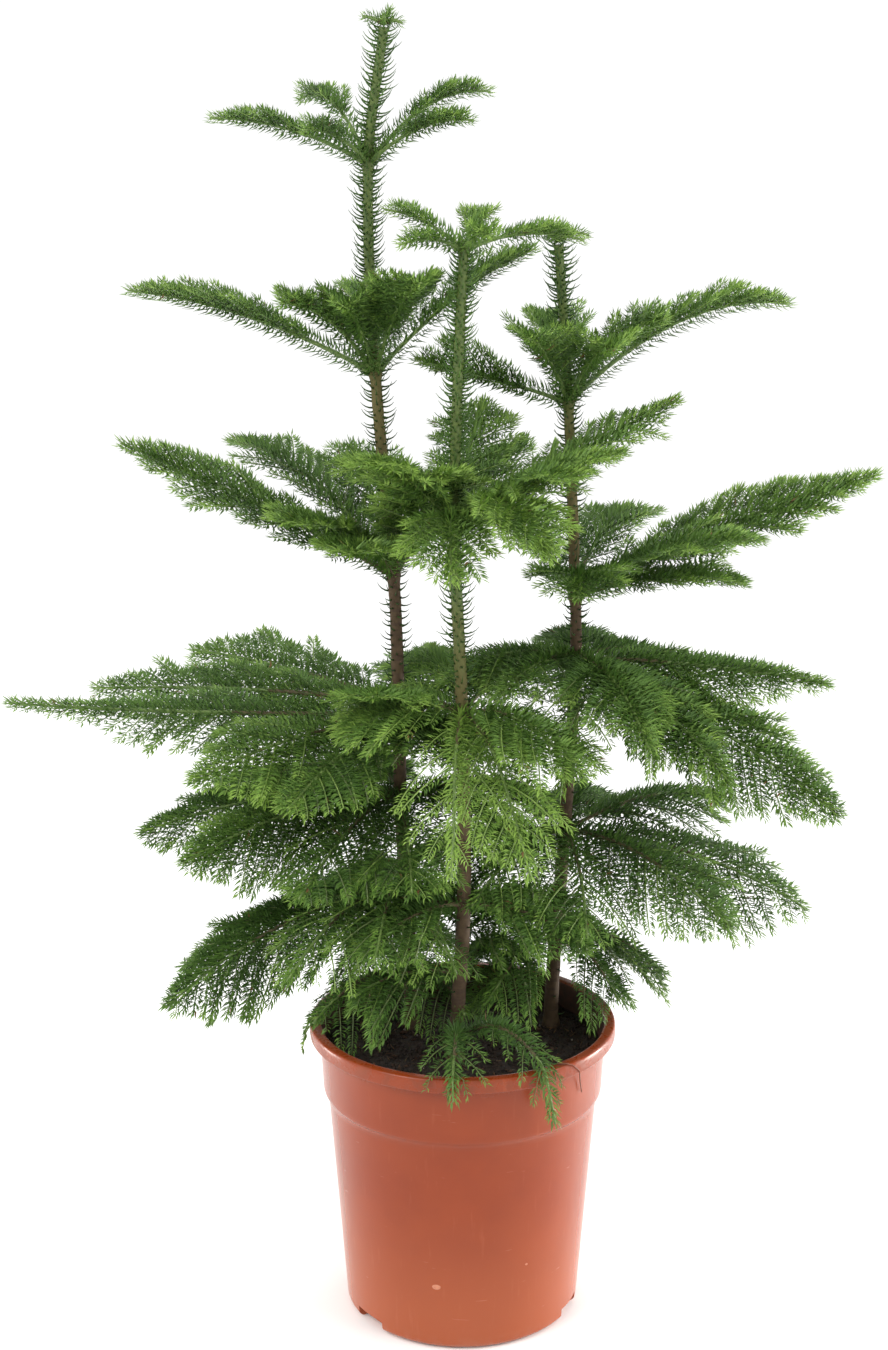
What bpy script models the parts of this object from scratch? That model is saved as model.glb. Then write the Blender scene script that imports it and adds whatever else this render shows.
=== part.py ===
# Potted Norfolk Island pine: three young stems in one moulded nursery pot.
# Metres, +Z up. The origin is the middle of the pot's flat underside; -Y is the front.
import math

import bmesh
import bpy
import numpy
from mathutils import Matrix, Vector
from mathutils.bvhtree import BVHTree

# Pot, from its foot to its rolled lip
POT_HEIGHT = 0.207
POT_FOOT_RADIUS = 0.0806
POT_SHOULDER_RADIUS = 0.0925
POT_COLLAR_RADIUS = 0.0960
POT_RIM_RADIUS = 0.1050
POT_WALL = 0.0018
POT_FLOOR = 0.0060
POT_FOOT_ROUND = 0.0030
COLLAR_HEIGHT = 0.0484
COLLAR_STEP = 0.0022
COLLAR_TURN = 0.0014
LIP_HEIGHT = 0.0100
LIP_OVERHANG = 0.0070
POT_STEPS = 36
NOTCH_COUNT = 3
NOTCH_SIZE = (0.012, 0.027, 0.010)
NOTCH_TURN = math.radians(97.5)

# Soil, level a little under the rim
SOIL_TOP = 0.188
GAP = 0.0003

# Stems: the foot and the centre line, as (height, x, y) at each bend
STEM_SIDES = 8
STEM_PIECE = 0.040
STEM_FOOT_RADIUS = 0.0050
STEM_TIP_RADIUS = 0.0029
FLARE_RADIUS = 0.0016
FLARE_HEIGHT = 0.014
STEMS = {
    "left": (
        (0.188, -0.0355, 0.030), (0.357, -0.0425, 0.032), (0.414, -0.0432, 0.033),
        (0.510, -0.0465, 0.034), (0.644, -0.0575, 0.032), (0.778, -0.0610, 0.028),
        (0.862, -0.0505, 0.026),
    ),
    "middle": (
        (0.188, -0.0046, -0.0277), (0.300, 0.0005, -0.030), (0.432, -0.0010, -0.031),
        (0.552, -0.0060, -0.033), (0.650, -0.0040, -0.034), (0.733, -0.0002, -0.034),
    ),
    "right": (
        (0.188, 0.0625, 0.032), (0.324, 0.0700, 0.034), (0.452, 0.0765, 0.036),
        (0.502, 0.0752, 0.036), (0.625, 0.0690, 0.034), (0.728, 0.0610, 0.030),
    ),
}

# Tiers of branches, top down. A tier has its stem, its height, and how its sprays grow: their
# longest length, the degrees they lift above the branch's plane, and how far their tips hang.
# A mass is one branch, or neighbours that share a collar round the stem. A branch is its
# direction in degrees from +X, reach, rise at the tip, arch at the middle, and roll in degrees.
TIERS = (
    ("left", 0.8636, 0.007, 30, 0.000, (
        ((170, 0.017, 0.004, 0.002, 0), (60, 0.010, 0.012, 0.000, 0),
         (350, 0.015, -0.003, 0.004, 0), (275, 0.011, 0.003, 0.002, 0)),)),
    ("left", 0.778, 0.024, 25, 0.000, (
        ((128, 0.082, 0.038, 0.020, 0), (183, 0.104, 0.028, 0.008, 0),
         (232, 0.066, 0.020, 0.008, 0)),
        ((322, 0.088, 0.026, 0.010, 0), (378, 0.086, 0.044, 0.016, 0)))),
    ("left", 0.644, 0.036, 25, 0.000, (
        ((178, 0.165, 0.054, 0.010, 0),),
        ((226, 0.086, 0.050, 0.014, 0), (257, 0.080, 0.050, 0.012, 0),
         (288, 0.105, 0.066, 0.012, 0)),
        ((22, 0.118, 0.080, 0.010, 0), (95, 0.110, 0.050, 0.010, 0)))),
    ("left", 0.510, 0.050, 8, 0.006, (
        ((184, 0.182, 0.092, 0.004, -20),),
        ((108, 0.105, 0.076, 0.010, 0), (146, 0.140, 0.080, 0.022, 0)),
        ((228, 0.105, 0.050, 0.012, 0), (257, 0.115, 0.034, 0.012, 0),
         (286, 0.125, 0.088, 0.012, 0)),
        ((50, 0.149, 0.078, 0.008, 0),))),
    ("left", 0.422, 0.056, 0, 0.010, (
        ((140, 0.205, 0.006, 0.004, -35), (166, 0.225, -0.004, 0.004, -35)),)),
    ("left", 0.414, 0.056, 0, 0.010, (
        ((186, 0.265, 0.015, -0.003, -20),),
        ((82, 0.170, 0.005, 0.012, 0),))),
    ("left", 0.406, 0.056, 0, 0.010, (
        ((216, 0.165, -0.014, 0.012, -20), (240, 0.140, -0.026, 0.012, -10),
         (263, 0.120, 0.050, 0.010, 0), (288, 0.115, 0.004, 0.012, 0),
         (325, 0.110, -0.010, 0.012, 0)),)),
    ("left", 0.357, 0.058, -5, 0.014, (
        ((105, 0.165, -0.020, 0.012, 0), (145, 0.170, -0.020, 0.012, 0)),
        ((183, 0.181, -0.026, 0.012, -25), (206, 0.162, -0.028, 0.012, -25),
         (240, 0.130, -0.040, 0.014, 0), (275, 0.115, -0.036, 0.014, 0),
         (330, 0.105, -0.030, 0.014, 0), (370, 0.120, -0.016, 0.012, 0)))),
    ("left", 0.290, 0.060, -10, 0.016, (
        ((196, 0.172, -0.072, 0.018, -45),),
        ((235, 0.135, -0.030, 0.020, -10), (262, 0.130, -0.010, 0.020, 0),
         (290, 0.105, -0.030, 0.016, 0), (335, 0.100, -0.030, 0.014, 0)),
        ((110, 0.150, -0.050, 0.018, 0), (166, 0.172, -0.080, 0.018, -20)))),
    ("left", 0.232, 0.048, -15, 0.026, (
        ((75, 0.105, -0.012, 0.014, 0), (130, 0.100, -0.016, 0.012, 0),
         (225, 0.095, -0.018, 0.012, 0), (300, 0.080, -0.012, 0.012, 0)),)),
    ("middle", 0.727, 0.020, 25, 0.000, (
        ((160, 0.056, 0.024, 0.006, 0), (215, 0.052, 0.003, 0.006, 0),
         (290, 0.050, 0.010, 0.006, 0)),
        ((10, 0.080, 0.004, 0.008, 0), (80, 0.070, 0.020, 0.006, 0)))),
    ("middle", 0.552, 0.048, 10, 0.013, (
        ((22, 0.162, 0.078, 0.004, 10),),
        ((232, 0.088, 0.056, 0.010, 0), (268, 0.090, -0.022, 0.024, 0),
         (305, 0.105, -0.008, 0.030, 0), (330, 0.095, 0.042, 0.014, 0),
         (353, 0.110, 0.052, 0.012, 0)),
        ((80, 0.125, 0.069, 0.010, 0), (150, 0.090, 0.040, 0.010, 0)))),
    ("middle", 0.432, 0.055, 0, 0.014, (
        ((266, 0.105, -0.085, 0.024, 0), (293, 0.110, -0.086, 0.024, 10)),
        ((100, 0.140, 0.010, 0.010, 0), (150, 0.090, -0.015, 0.012, 0),
         (200, 0.085, -0.012, 0.012, 0)),
        ((318, 0.105, -0.028, 0.016, 0), (420, 0.150, 0.010, 0.012, 0)))),
    ("middle", 0.300, 0.045, -10, 0.014, (
        ((150, 0.090, -0.020, 0.010, 0), (182, 0.085, -0.030, 0.012, 0),
         (215, 0.085, -0.020, 0.010, 0), (335, 0.095, -0.020, 0.010, 0),
         (390, 0.100, -0.020, 0.010, 0)),)),
    ("middle", 0.250, 0.045, -15, 0.022, (
        ((65, 0.085, -0.008, 0.012, 0), (198, 0.080, -0.010, 0.010, 0)),)),
    ("middle", 0.200, 0.036, 0, 0.012, (
        ((268, 0.092, -0.002, 0.024, 0), (310, 0.112, -0.012, 0.032, 0)),)),
    ("right", 0.7296, 0.009, 40, 0.000, (
        ((10, 0.024, 0.000, 0.006, 0), (70, 0.012, 0.014, 0.000, 0),
         (140, 0.016, 0.008, 0.002, 0), (215, 0.016, 0.006, 0.002, 0),
         (290, 0.016, 0.008, 0.002, 0)),)),
    ("right", 0.625, 0.036, 25, 0.000, (
        ((5, 0.150, 0.063, 0.022, 0),),
        ((250, 0.090, 0.050, 0.010, 0), (288, 0.085, 0.042, 0.012, 0),
         (325, 0.076, 0.058, 0.014, 0)),
        ((95, 0.110, 0.050, 0.010, 0), (180, 0.105, 0.030, 0.002, -30)))),
    ("right", 0.502, 0.050, 8, 0.006, (
        ((8, 0.212, 0.072, 0.004, 20),),
        ((65, 0.105, 0.038, 0.010, 0), (125, 0.120, 0.040, 0.010, 0)))),
    ("right", 0.494, 0.050, 8, 0.006, (
        ((268, 0.100, 0.018, 0.016, 0), (335, 0.128, 0.048, 0.014, 10),
         (352, 0.118, 0.012, 0.010, 0)),)),
    ("right", 0.452, 0.056, 0, 0.016, (
        ((354, 0.174, -0.014, 0.004, 20),),
        ((44, 0.120, -0.030, 0.012, 10), (85, 0.100, -0.010, 0.012, 0)),
        ((207, 0.105, -0.006, 0.012, 0), (236, 0.105, -0.012, 0.012, 0),
         (262, 0.110, -0.070, 0.020, 0), (286, 0.145, -0.030, 0.016, 0),
         (310, 0.150, -0.060, 0.014, 20)))),
    ("right", 0.444, 0.056, 0, 0.012, (
        ((329, 0.196, -0.075, 0.014, 30),),)),
    ("right", 0.330, 0.058, -8, 0.016, (
        ((190, 0.120, -0.020, 0.012, 0), (230, 0.105, -0.030, 0.014, 0),
         (275, 0.115, -0.040, 0.016, 0),
         (315, 0.150, -0.035, 0.016, 15), (347, 0.170, -0.045, 0.014, 30)),
        ((28, 0.135, 0.006, 0.012, 0), (80, 0.150, -0.020, 0.016, 0)))),
    ("right", 0.260, 0.048, -12, 0.018, (
        ((232, 0.085, -0.035, 0.012, 0), (318, 0.060, -0.045, 0.010, 0),
         (372, 0.085, -0.046, 0.012, 0), (420, 0.080, -0.040, 0.010, 0),
         (475, 0.100, -0.016, 0.012, 0)),)),
)

# Branches: thickness, and the share of the largest ones that is a bare bough
BRANCH_SIDES = 3
BOUGH_SIDES = 6
LIMB_PIECES = 4
BRANCH_TIP_RADIUS = 0.0012
BRANCH_ROOT_RADIUS = 0.0011
BRANCH_RADIUS_PER_REACH = 0.0045
BOUGH_MIN_REACH = 0.150
BOUGH_SHARE = 0.28
COLLAR_STEP_ANGLE = math.radians(36.0)
COLLAR_END_ANGLE = 0.10
TUFT_REACH = 0.030

# Sprays: toothed blades of needles in two ranks along a branch
SPRAY_SPACING = 0.050
SPRAY_ANGLE = math.radians(52.0)
SPRAY_START = 0.22
SPRAY_ROOT_SHARE = 0.55
SPRAY_TIP_SHARE = 0.30
SPRAY_FULL_FROM = 0.25
SPRAY_FULL_TO = 0.50
SPRAY_MIN_LENGTH = 0.008
SPRAY_HALF_WIDTH = 0.0085
SPRAY_DEPTH = 0.0018
SPRAY_SINK = 0.0004
SPRAY_SHORT = 0.026
LEADER_LENGTH = 0.022
LEADER_SINK = 0.0009
CLEARANCE = 0.0006

# Teeth of a blade, as shares of its length and its half width, from root to tip
LONG_TEETH = ((0.36, 1.00), (0.44, 0.48), (0.76, 0.86))
SHORT_TEETH = ((0.46, 1.00), (0.58, 0.45))
BLADE_CREST = 0.16


def clear_scene():
    for old in list(bpy.data.objects):
        bpy.data.objects.remove(old, do_unlink=True)


def new_collection(name, hidden=False):
    collection = bpy.data.collections.new(name)
    bpy.context.scene.collection.children.link(collection)
    collection.hide_render = hidden
    return collection


def new_material(name, colour, roughness):
    material = bpy.data.materials.new(name)
    material.use_nodes = True
    shader = material.node_tree.nodes["Principled BSDF"]
    shader.inputs["Base Color"].default_value = (*colour, 1.0)
    shader.inputs["Roughness"].default_value = roughness
    shader.inputs["Metallic"].default_value = 0.0
    return material


def new_object(name, data, collection, material=None):
    made = bpy.data.objects.new(name, data)
    collection.objects.link(made)
    if material is not None:
        data.materials.append(material)
    return made


def mesh_from(name, vertices, faces):
    mesh = bpy.data.meshes.new(name)
    mesh.from_pydata([tuple(v) for v in vertices], [], faces)
    mesh.update()
    return mesh


def turned(name, profile, collection, material):
    # A profile of (radius, height) points, turned round the Z axis
    mesh = bpy.data.meshes.new(name)
    edges = [(i, i + 1) for i in range(len(profile) - 1)]
    mesh.from_pydata([(r, 0.0, z) for r, z in profile], edges, [])
    made = new_object(name, mesh, collection, material)
    screw = made.modifiers.new("Turn", "SCREW")
    screw.steps = POT_STEPS
    screw.render_steps = POT_STEPS
    screw.use_merge_vertices = True
    screw.merge_threshold = 0.0001
    return made


def pot_outer():
    # Outer side of the pot, top to bottom
    collar_foot = POT_HEIGHT - COLLAR_HEIGHT
    lip_foot = POT_HEIGHT - LIP_HEIGHT
    return [
        (POT_RIM_RADIUS - 0.0012, POT_HEIGHT),
        (POT_RIM_RADIUS, POT_HEIGHT - 0.0016),
        (POT_RIM_RADIUS, lip_foot + 0.0010),
        (POT_RIM_RADIUS - LIP_OVERHANG, lip_foot),
        (POT_COLLAR_RADIUS, collar_foot),
        (POT_SHOULDER_RADIUS + COLLAR_TURN, collar_foot - COLLAR_STEP),
        (POT_SHOULDER_RADIUS, collar_foot - 2 * COLLAR_STEP),
        (POT_FOOT_RADIUS, POT_FOOT_ROUND),
        (POT_FOOT_RADIUS - POT_FOOT_ROUND, 0.0),
        (0.0, 0.0),
    ]


def pot_inner():
    # Inner side of the pot, bottom to top
    collar_foot = POT_HEIGHT - COLLAR_HEIGHT
    return [
        (POT_FOOT_RADIUS - POT_WALL, POT_FLOOR),
        (POT_SHOULDER_RADIUS - POT_WALL, collar_foot - 2 * COLLAR_STEP),
        (POT_SHOULDER_RADIUS + COLLAR_TURN - POT_WALL, collar_foot - COLLAR_STEP),
        (POT_COLLAR_RADIUS - POT_WALL, collar_foot),
        (POT_RIM_RADIUS - LIP_OVERHANG - POT_WALL, POT_HEIGHT - LIP_HEIGHT),
        (POT_RIM_RADIUS - LIP_OVERHANG - POT_WALL + 0.0006, POT_HEIGHT),
    ]


def build_pot(collection, cutters, material):
    profile = [(0.0, POT_FLOOR)] + pot_inner() + pot_outer()
    pot = turned("pot", profile, collection, material)
    for i in range(NOTCH_COUNT):
        angle = NOTCH_TURN + i * math.tau / NOTCH_COUNT
        shape = bmesh.new()
        bmesh.ops.create_cube(shape, size=1.0, matrix=Matrix.Diagonal((*NOTCH_SIZE, 1.0)))
        mesh = bpy.data.meshes.new(f"notch_{i}")
        shape.to_mesh(mesh)
        shape.free()
        notch = new_object(f"notch_{i}", mesh, cutters)
        notch.location = (POT_FOOT_RADIUS * math.cos(angle), POT_FOOT_RADIUS * math.sin(angle), 0.0)
        notch.rotation_euler = (0.0, 0.0, angle)
        notch.hide_render = True
        notch.display_type = "WIRE"
    cut = pot.modifiers.new("Notches", "BOOLEAN")
    cut.operation = "DIFFERENCE"
    cut.operand_type = "COLLECTION"
    cut.collection = cutters
    return pot


def build_soil(collection, material):
    # It fills the pot to its level, with a gap to the wall and the floor
    wall = pot_inner()
    below = [(r, z) for r, z in wall if z < SOIL_TOP]
    (r0, z0), (r1, z1) = below[-1], wall[len(below)]
    level_radius = r0 + (r1 - r0) * (SOIL_TOP - z0) / (z1 - z0)
    floor = POT_FLOOR + GAP
    profile = [(0.0, SOIL_TOP), (level_radius - GAP, SOIL_TOP)]
    profile += [(r - GAP, z) for r, z in reversed(below[1:])]
    profile += [(below[0][0] - GAP, floor), (0.0, floor)]
    return turned("soil", profile, collection, material)


def ring_guide(sides, guides):
    # A regular outline of radius 1, swept along a path to make a limb
    data = bpy.data.curves.new(f"ring_{sides}", "CURVE")
    data.dimensions = "2D"
    spline = data.splines.new("POLY")
    spline.points.add(sides - 1)
    for i, point in enumerate(spline.points):
        angle = i * math.tau / sides
        point.co = (math.cos(angle), math.sin(angle), 0.0, 1.0)
    spline.use_cyclic_u = True
    guide = new_object(f"ring_{sides}", data, guides)
    guide.hide_render = True
    guide.display_type = "WIRE"
    return guide


def swept_mesh(name, points, radii, guide, guides):
    # A closed, tapering limb along the points
    data = bpy.data.curves.new(name, "CURVE")
    data.dimensions = "3D"
    data.bevel_mode = "OBJECT"
    data.bevel_object = guide
    data.use_fill_caps = True
    data.twist_mode = "Z_UP"
    spline = data.splines.new("POLY")
    spline.points.add(len(points) - 1)
    for knot, point, radius in zip(spline.points, points, radii):
        knot.co = (*point, 1.0)
        knot.radius = radius
    sweep = new_object(name, data, guides)
    graph = bpy.context.evaluated_depsgraph_get()
    mesh = bpy.data.meshes.new_from_object(sweep.evaluated_get(graph))
    bpy.data.objects.remove(sweep, do_unlink=True)
    bpy.data.curves.remove(data)
    shape = bmesh.new()
    shape.from_mesh(mesh)
    bmesh.ops.remove_doubles(shape, verts=shape.verts, dist=0.00001)
    bmesh.ops.recalc_face_normals(shape, faces=shape.faces)
    bmesh.ops.triangulate(shape, faces=shape.faces)
    shape.to_mesh(mesh)
    shape.free()
    mesh.name = name
    return mesh


def stem_curve(stem, height):
    # Smooth centre line through the stem's bends, upright at the foot
    bends = STEMS[stem]
    last = len(bends) - 2
    i = next(k for k in range(last + 1) if height <= bends[k + 1][0] or k == last)
    low, high = Vector(bends[i]), Vector(bends[i + 1])
    before = Vector(bends[i - 1]) if i > 0 else None
    after = Vector(bends[i + 2]) if i < last else None
    span = high[0] - low[0]
    share = (height - low[0]) / span
    centre = []
    for axis in (1, 2):
        slope_low = (high[axis] - before[axis]) / (high[0] - before[0]) if before else 0.0
        chord = (high[axis] - low[axis]) / span
        slope_high = (after[axis] - low[axis]) / (after[0] - low[0]) if after else chord
        centre.append(
            low[axis] * (1 + 2 * share) * (1 - share) ** 2
            + high[axis] * share**2 * (3 - 2 * share)
            + span * slope_low * share * (1 - share) ** 2
            - span * slope_high * share**2 * (1 - share)
        )
    return Vector((centre[0], centre[1], height))


def stem_rings(stem):
    # Heights where the straight pieces of a stem meet, each bend among them
    foot = SOIL_TOP + GAP
    heights = [foot, foot + 0.3 * FLARE_HEIGHT, foot + FLARE_HEIGHT]
    for bend in STEMS[stem][1:]:
        start = heights[-1]
        count = math.ceil((bend[0] - start) / STEM_PIECE)
        heights += [start + (bend[0] - start) * (i + 1) / count for i in range(count)]
    return heights


def stem_centre(stem, height):
    # The middle of the stem's straight piece at a height, or of its tip above that
    heights = stem_rings(stem)
    points = [stem_curve(stem, z) for z in heights]
    x = numpy.interp(height, heights, [p.x for p in points])
    y = numpy.interp(height, heights, [p.y for p in points])
    return Vector((x, y, height))


def stem_radius(stem, height):
    foot, tip = STEMS[stem][0][0], STEMS[stem][-1][0]
    share = min(max((height - foot) / (tip - foot), 0.0), 1.0)
    flare = max(0.0, 1.0 - (height - foot) / FLARE_HEIGHT)
    return STEM_FOOT_RADIUS + (STEM_TIP_RADIUS - STEM_FOOT_RADIUS) * share + FLARE_RADIUS * flare**2


def build_stem(stem, guide, guides, collection, material):
    heights = stem_rings(stem)
    points = [stem_centre(stem, z) for z in heights]
    points[1].xy = points[0].xy
    radii = [stem_radius(stem, z) for z in heights]
    mesh = swept_mesh(f"stem_{stem}", points, radii, guide, guides)
    return new_object(f"stem_{stem}", mesh, collection, material)


class Branch:
    # One limb of a tier: a path in the upright plane of its direction, with its own thickness
    def __init__(self, tier, shape):
        self.stem, self.height, self.spray, self.lift, self.droop, _ = tier
        degrees, self.reach, self.rise, self.arch, self.roll = shape
        self.angle = math.radians(degrees)
        self.out = Vector((math.cos(self.angle), math.sin(self.angle), 0.0))
        self.side = Vector((-math.sin(self.angle), math.cos(self.angle), 0.0))
        self.on_tip = self.height > STEMS[self.stem][-1][0]
        slope = (self.rise + 4 * self.arch) / self.reach
        lean = self.radius(0.0) * abs(slope) / math.hypot(1.0, slope)
        if self.reach < BOUGH_MIN_REACH:
            # A flat side of a three-sided limb faces the stem
            lean *= 0.5
        beside = stem_radius(self.stem, self.height) + GAP
        self.root = (beside + lean) / self.reach
        self.root_height = self.height + (beside + self.radius(0.0)) * slope
        self.centre = stem_centre(self.stem, self.root_height)
        self.centre.z = self.height

    def begin_limb(self, start):
        # Sets the shares of the reach where the straight pieces of its limb meet. The leading
        # spray takes the rest of the reach.
        end = 1.0 - min(LEADER_LENGTH / self.reach, 0.5)
        pieces = LIMB_PIECES if self.reach > TUFT_REACH else 2
        self.knots = [start + (end - start) * i / pieces for i in range(pieces + 1)]

    def point(self, share):
        lift = self.rise * share + self.arch * 4 * share * (1 - share)
        return self.centre + self.out * (self.reach * share) + Vector((0.0, 0.0, lift))

    def along(self, share):
        slope = self.rise + self.arch * 4 * (1 - 2 * share)
        return (self.out * self.reach + Vector((0.0, 0.0, slope))).normalized()

    def on_limb(self, share):
        # The middle of the limb's straight piece at a share of the reach
        i = sum(share > knot for knot in self.knots[1:-1])
        low, high = self.knots[i], self.knots[i + 1]
        return self.point(low).lerp(self.point(high), (share - low) / (high - low))

    def radius(self, share):
        thick = BRANCH_ROOT_RADIUS + BRANCH_RADIUS_PER_REACH * self.reach
        return thick + (BRANCH_TIP_RADIUS - thick) * share


def branch_mesh(branch, shares, guide, guides, name):
    # The stretch of a branch through some shares of its reach
    points = [branch.point(s) for s in shares]
    radii = [branch.radius(s) for s in shares]
    return swept_mesh(name, points, radii, guide, guides)


def collar_radius(branches):
    # A flat side of the three-sided collar faces the stem, half its radius in
    thick = max(b.radius(0.0) for b in branches)
    return stem_radius(branches[0].stem, branches[0].height) + GAP + 0.5 * thick


def collar_mesh(branches, guide, guides, name):
    # An arc round the stem, through the roots of neighbouring branches
    thick = max(b.radius(0.0) for b in branches)
    turns = [b.angle for b in branches]
    span = turns[-1] - turns[0] + 2 * COLLAR_END_ANGLE
    count = math.ceil(span / COLLAR_STEP_ANGLE)
    stem = branches[0].stem
    radius = collar_radius(branches)
    points = []
    for i in range(count + 1):
        angle = turns[0] - COLLAR_END_ANGLE + span * i / count
        height = numpy.interp(angle, turns, [b.root_height for b in branches])
        out = Vector((math.cos(angle), math.sin(angle), 0.0))
        points.append(stem_centre(stem, height) + out * radius / math.cos(0.5 * span / count))
    return swept_mesh(name, points, [thick] * len(points), guide, guides)


def blade(length, half_width, depth, teeth):
    # A spray along +X from a pointed root: toothed on both edges, flat below and ridged above
    edge = [(length * x, half_width * y) for x, y in teeth]
    outline = [(0.0, 0.0)] + edge + [(length, 0.0)] + [(x, -y) for x, y in reversed(edge)]
    count = len(outline)
    vertices = [(x, y, 0.0) for x, y in outline] + [(length * BLADE_CREST, 0.0, depth)]
    faces = [tuple(range(count))]
    faces += [(count, (i + 1) % count, i) for i in range(count)]
    return vertices, faces


def spray_share(place):
    # How long a spray is at a place between the first one and the tip of its branch
    if place < SPRAY_FULL_FROM:
        return SPRAY_ROOT_SHARE + (1.0 - SPRAY_ROOT_SHARE) * place / SPRAY_FULL_FROM
    if place < SPRAY_FULL_TO:
        return 1.0
    fall = (place - SPRAY_FULL_TO) / (1.0 - SPRAY_FULL_TO)
    return 1.0 + (SPRAY_TIP_SHARE - 1.0) * fall


def sprays_of(branch):
    # (root, direction, sideways, length) of each spray, left and right in turn from the stem out
    start = max(branch.knots[0], SPRAY_START)
    span = branch.knots[-1] - start
    count = max(1, round(branch.reach * span / SPRAY_SPACING))
    if branch.reach > TUFT_REACH:
        for i in range(count):
            for hand, offset in ((1, 0.25), (-1, 0.75)):
                place = (i + offset) / count
                share = start + span * place
                along = branch.along(share)
                up = along.cross(branch.side)
                up = -up if up.z < 0 else up
                length = branch.spray * spray_share(place)
                tilt = math.radians(branch.lift + hand * branch.roll)
                away = branch.side * (hand * math.cos(tilt)) + up * math.sin(tilt)
                heading = along * math.cos(SPRAY_ANGLE) + away * math.sin(SPRAY_ANGLE)
                heading -= Vector((0.0, 0.0, branch.droop / branch.spray))
                heading.normalize()
                yield branch.on_limb(share) - heading * SPRAY_SINK, heading, along, length
    end = branch.point(branch.knots[-1])
    ahead = (branch.point(1.0) - end).normalized()
    root = end - ahead * LEADER_SINK
    yield root, ahead, branch.side, (branch.point(1.0) - root).length


def placed(shape, root, heading, beside):
    # Turns a blade so that it points along its heading and lies in the plane of both directions
    vertices, faces = shape
    normal = heading.cross(beside).normalized()
    across = normal.cross(heading)
    turn = Matrix((heading, across, normal)).transposed()
    return [root + turn @ Vector(v) for v in vertices], faces


class Crown:
    # Keeps every solid in a space of its own
    def __init__(self):
        self.taken = []

    def add(self, owner, vertices, faces):
        middle = sum(vertices, Vector()) / len(vertices)
        reach = max((v - middle).length for v in vertices)
        tree = BVHTree.FromPolygons(vertices, faces)
        self.taken.append((owner, middle, reach, tree))

    def add_object(self, made):
        graph = bpy.context.evaluated_depsgraph_get()
        mesh = made.evaluated_get(graph).to_mesh()
        self.add_mesh(made.name, mesh)

    def add_mesh(self, owner, mesh):
        vertices = [v.co.copy() for v in mesh.vertices]
        self.add(owner, vertices, [tuple(p.vertices) for p in mesh.polygons])

    def free(self, owner, vertices, faces):
        middle = sum(vertices, Vector()) / len(vertices)
        reach = max((v - middle).length for v in vertices)
        tree = BVHTree.FromPolygons(vertices, faces)
        for other, there, extent, standing in self.taken:
            if other == owner or (there - middle).length > reach + extent:
                continue
            if tree.overlap(standing):
                return False
        return True


class Mass:
    # One node of foliage: its branches, and the sprays that found room on them
    def __init__(self, name, branches, has_bough):
        self.name = name
        self.branches = branches
        self.parts = []
        for branch in branches:
            if has_bough:
                branch.begin_limb(BOUGH_SHARE + GAP / branch.reach)
            elif branch.on_tip:
                branch.begin_limb(0.0)
            elif len(branches) > 1:
                branch.begin_limb(collar_radius(branches) / branch.reach)
            else:
                branch.begin_limb(branch.root)
        self.waiting = [list(sprays_of(branch)) for branch in branches]

    def grow_branches(self, ring, guides, crown):
        # A tuft's branches meet in one bud over the stem, and other neighbours share a collar
        if len(self.branches) > 1 and not self.branches[0].on_tip:
            collar = collar_mesh(self.branches, ring, guides, self.name)
            self.parts.append(collar)
            crown.add_mesh(self.name, collar)
        for branch in self.branches:
            mesh = branch_mesh(branch, branch.knots, ring, guides, self.name)
            self.parts.append(mesh)
            crown.add_mesh(branch, mesh)

    def grow_spray(self, crown):
        # Takes the next spray of each branch, and keeps it where it touches nothing else
        for branch, queue in zip(self.branches, self.waiting):
            if not queue:
                continue
            root, heading, beside, length = queue.pop()
            if length < SPRAY_MIN_LENGTH:
                continue
            teeth = SHORT_TEETH if length < SPRAY_SHORT else LONG_TEETH
            half_width = min(SPRAY_HALF_WIDTH, 0.34 * length)
            depth = min(SPRAY_DEPTH, 0.10 * length)
            room = blade(length + CLEARANCE, half_width + CLEARANCE, depth + CLEARANCE, teeth)
            if crown.free(branch, *placed(room, root, heading, beside)):
                vertices, faces = placed(
                    blade(length, half_width, depth, teeth), root, heading, beside
                )
                crown.add(branch, vertices, faces)
                self.parts.append(mesh_from(self.name, vertices, faces))

    def fuse(self, collection, material):
        # One Boolean union joins the branches and the sprays into a single closed solid
        operands = new_collection(self.name + "_parts")
        whole = new_object(self.name, self.parts[0], collection, material)
        for i, mesh in enumerate(self.parts[1:]):
            new_object(f"{self.name}_{i}", mesh, operands)
        union = whole.modifiers.new("Union", "BOOLEAN")
        union.operation = "UNION"
        union.operand_type = "COLLECTION"
        union.collection = operands
        union.solver = "MANIFOLD"
        graph = bpy.context.evaluated_depsgraph_get()
        fused = bpy.data.meshes.new_from_object(whole.evaluated_get(graph))
        whole.modifiers.clear()
        whole.data = fused
        fused.name = self.name
        for part in list(operands.objects):
            bpy.data.objects.remove(part, do_unlink=True)
        bpy.data.collections.remove(operands)
        return whole


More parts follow.
